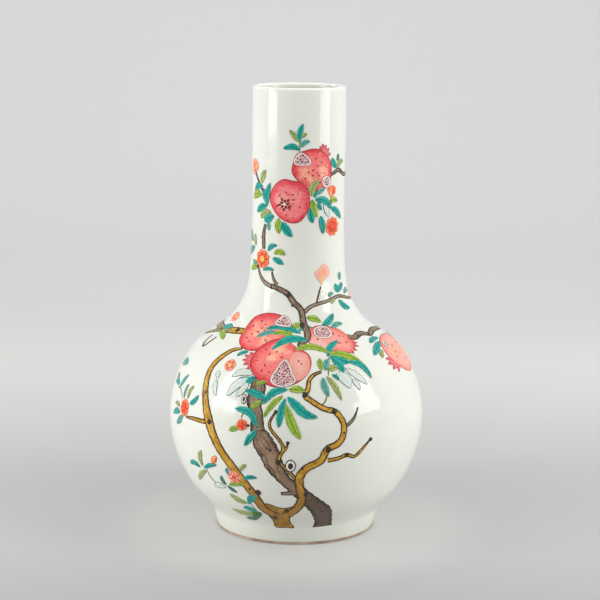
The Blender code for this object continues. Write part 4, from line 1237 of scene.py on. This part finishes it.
def paint_branches():
    """Paint the trunk, boughs and branches with their knots."""
    for node, (slot, rows) in BRANCHES.items():
        painting = Painting(node, slot)
        if node == "bough_left":
            blob(painting, [(-13.5, 4.5), (-14, 10), (-15.5, 18), (-16.8, 26), (-18, 34),
                            (-15, 38), (-11.5, 36), (-8, 33.5), (-5, 33.5), (-1.5, 35.5),
                            (2.5, 36), (1.5, 29), (-2, 22.5), (-3, 16), (-2.5, 10),
                            (-0.5, 4.5), (-7, 3.8)],
                 1, MATERIALS["stump"], 4.0, centre=(-8.5, 24))
        for k, (bark, layer, *knots) in enumerate(rows):
            path = [knot[:2] for knot in knots]
            widths = [knot[2] for knot in knots]
            ribbon(painting, path, widths, layer, MATERIALS[bark], k + 1.0, wobble=BRUSH_WOBBLE,
                   open_start=True)
        for azimuth, rise, width, height, ring in KNOTS.get(node, ()):
            if ring not in (None, "white"):
                width *= RINGED_KNOT
                height *= RINGED_KNOT
            spot(painting, azimuth, rise, width, height, KNOT_LAYER, "ink")
            if ring is not None:
                spot(painting, azimuth, rise, 0.80 * width, 0.84 * height, KNOT_LAYER + 0.6, ring)
                spot(painting, azimuth, rise, 0.50 * width, 0.52 * height, KNOT_LAYER + 1.2, "ink")
        painting.finish()


# Camera, in metres and degrees
CAMERA_LENS = 109.05
CAMERA_SENSOR = 36.0
CAMERA_DISTANCE = 1.534
CAMERA_HEIGHT = 0.4755
CAMERA_PAN = -0.085
CAMERA_PITCH = 10.3
CAMERA_ROLL = 0.62

# Paper sweep, in metres: the flat floor's ends, the curve behind it, and the wall
SWEEP_NEAR_END = -5.0
SWEEP_SIDE = 5.0
SWEEP_FLAT = 1.5
SWEEP_BEND = 0.9
SWEEP_TOP = 2.6
# Painted light and shade: its colour at each depth, darker in front and lighter behind, as (colour, where
# it starts, where it is full), front to back
SWEEP_NEAR_PAINTED_SHADE = (0.445, 0.445, 0.450)
SWEEP_PAINTED_LIGHT_AND_SHADE = [
    ((0.568, 0.568, 0.572), -0.35, 0.02),
    ((0.862, 0.862, 0.866), 0.06, 0.74),
    ((0.915, 0.915, 0.940), 0.80, 1.40),
    ((0.42, 0.42, 0.42), -0.22, -0.60),
]
# Painted light round the foot, over the vase's contact shadow: full within the first reach, gone at the
# second, in metres
SWEEP_PAINTED_LIGHT_AT_FOOT = (0.68, 0.68, 0.68)
PAINTED_LIGHT_AT_FOOT_REACH = (0.07, 0.19)

WORLD_LIGHT = 0.70
WORLD_COLOUR = (1.0, 1.0, 0.962, 1.0)
LAMP_COLOUR = (0.985, 0.992, 1.0)
# name, azimuth seen from the vase, distance, width, bottom, top, watts, mirrored in the glaze
SOFTBOXES = [
    ("softbox_left_low", -66.5, 0.90, 0.40, 0.254, 0.40, 0.86, True),
    ("softbox_left_high", -71.5, 0.90, 0.22, 0.40, 0.84, 1.50, True),
    ("fill_left", -98.0, 1.00, 0.60, 0.05, 0.75, 1.1, False),
    ("softbox_right_low", 65.3, 0.90, 0.44, 0.234, 0.40, 0.84, True),
    ("softbox_right_high", 68.2, 0.90, 0.28, 0.40, 0.90, 1.90, True),
    ("fill_right_high", 65.3, 0.90, 0.44, 0.40, 0.90, 0.10, False),
    ("slat_left_upper", -66.5, 0.90, 0.40, 0.232, 0.243, 0.042, True),
    ("slat_left_lower", -66.5, 0.90, 0.40, 0.206, 0.217, 0.042, True),
    ("fill_right", 105.0, 1.10, 0.80, 0.05, 0.75, 1.6, False),
    ("high_right", 80.0, 1.10, 0.50, 0.70, 1.30, 1.9, False),
    ("low_left", -75.0, 0.90, 0.60, 0.00, 0.20, 2.4, False),
    ("low_right", 75.0, 0.90, 0.60, 0.00, 0.20, 1.2, False),
]
MOUTH_LIGHT_SIZE = 0.06
MOUTH_LIGHT_WATTS = 0.02
MOUTH_LIGHT_SPREAD = 24.0
MOUTH_LIGHT_HEIGHT = 0.62


def add_lamp(name, watts, place, turn, mirrored):
    """Add an area light, and return its settings."""
    lamp = bpy.data.lights.new(name, "AREA")
    lamp.energy = watts
    holder = add_object(name, lamp)
    holder.location = place
    holder.rotation_euler = turn
    holder.visible_glossy = mirrored
    return lamp


def set_lights():
    """Make the world's light, the soft boxes and a faint light into the mouth."""
    world = bpy.data.worlds.new("studio")
    bpy.context.scene.world = world
    world.use_nodes = True
    background = world.node_tree.nodes["Background"]
    background.inputs["Color"].default_value = WORLD_COLOUR
    background.inputs["Strength"].default_value = WORLD_LIGHT
    for name, azimuth, distance, width, low, high, watts, mirrored in SOFTBOXES:
        turn = math.radians(azimuth)
        place = (distance * math.sin(turn), -distance * math.cos(turn), 0.5 * (low + high))
        lamp = add_lamp(name, watts, place, (math.radians(90.0), 0.0, turn), mirrored)
        lamp.shape = "RECTANGLE"
        lamp.size = width
        lamp.size_y = high - low
        lamp.color = LAMP_COLOUR
    lamp = add_lamp("mouth_light", MOUTH_LIGHT_WATTS, (0.0, 0.0, MOUTH_LIGHT_HEIGHT),
                    (0.0, 0.0, 0.0), False)
    lamp.size = MOUTH_LIGHT_SIZE
    lamp.spread = math.radians(MOUTH_LIGHT_SPREAD)


def build_sweep():
    """Make the pale paper sweep that the vase stands on, with painted light and shade by depth and a
    painted pool of light round the foot.
    """
    profile = [(SWEEP_NEAR_END, 0.0), (SWEEP_FLAT, 0.0)]
    profile += [(SWEEP_FLAT + SWEEP_BEND * math.sin(a), SWEEP_BEND * (1.0 - math.cos(a)))
                for a in np.radians(np.linspace(6, 84, 14))]
    profile += [(SWEEP_FLAT + SWEEP_BEND, SWEEP_BEND), (SWEEP_FLAT + SWEEP_BEND, SWEEP_TOP)]
    points = [(x, y, z) for y, z in profile for x in (-SWEEP_SIDE, SWEEP_SIDE)]
    faces = [(2 * k, 2 * k + 1, 2 * k + 3, 2 * k + 2) for k in range(len(profile) - 1)]
    mesh = bpy.data.meshes.new("sweep")
    mesh.from_pydata(points, [], faces)
    mesh.shade_smooth()
    n = Nodes("paper_sweep")
    place = n.place()
    depth = n.split(place)[1]
    # painted light and shade on the floor, changing with depth
    body = SWEEP_NEAR_PAINTED_SHADE
    for colour, start, full in SWEEP_PAINTED_LIGHT_AND_SHADE:
        body = n.mix(n.ramp(depth, start, full), body, colour)
    # painted light round the foot
    from_axis = n.add("ShaderNodeVectorMath", {0: place}, operation="LENGTH").outputs["Value"]
    body = n.mix(n.ramp(from_axis, *PAINTED_LIGHT_AT_FOOT_REACH, 1.0, 0.0), body, SWEEP_PAINTED_LIGHT_AT_FOOT)
    n.bump(n.noise(place, 300.0, 3.0), 0.00005)
    mesh.materials.append(n.set(Base_Color=body, Roughness=0.9))
    add_object("sweep", mesh)


def set_camera():
    """Make the camera, a little above the vase's middle and looking down at it."""
    camera = bpy.data.cameras.new("camera")
    camera.sensor_width = CAMERA_SENSOR
    camera.lens = CAMERA_LENS
    holder = add_object("camera", camera)
    turn = (Matrix.Rotation(math.radians(CAMERA_PAN), 4, "Z")
            @ Matrix.Rotation(math.radians(90.0 - CAMERA_PITCH), 4, "X")
            @ Matrix.Rotation(math.radians(CAMERA_ROLL), 4, "Z"))
    holder.matrix_world = Matrix.Translation((0.0, -CAMERA_DISTANCE, CAMERA_HEIGHT)) @ turn
    bpy.context.scene.camera = holder
    bpy.context.scene.view_settings.view_transform = "Standard"


MATERIALS = make_materials()
PASTE = paste_material()
build_vessel(glaze_material(), biscuit_material())
for clay_node in ("lower_bowl", "shoulder_dome", "neck_tube", "foot_slip_joint",
                  "waist_slip_joint", "neck_slip_joint"):
    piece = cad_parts[clay_node]
    piece.data.materials.clear()
    piece.data.materials.append(PASTE)
paint_fruits()
paint_branches()
paint_leaves()
paint_blossoms()
build_sweep()
set_lights()
set_camera()
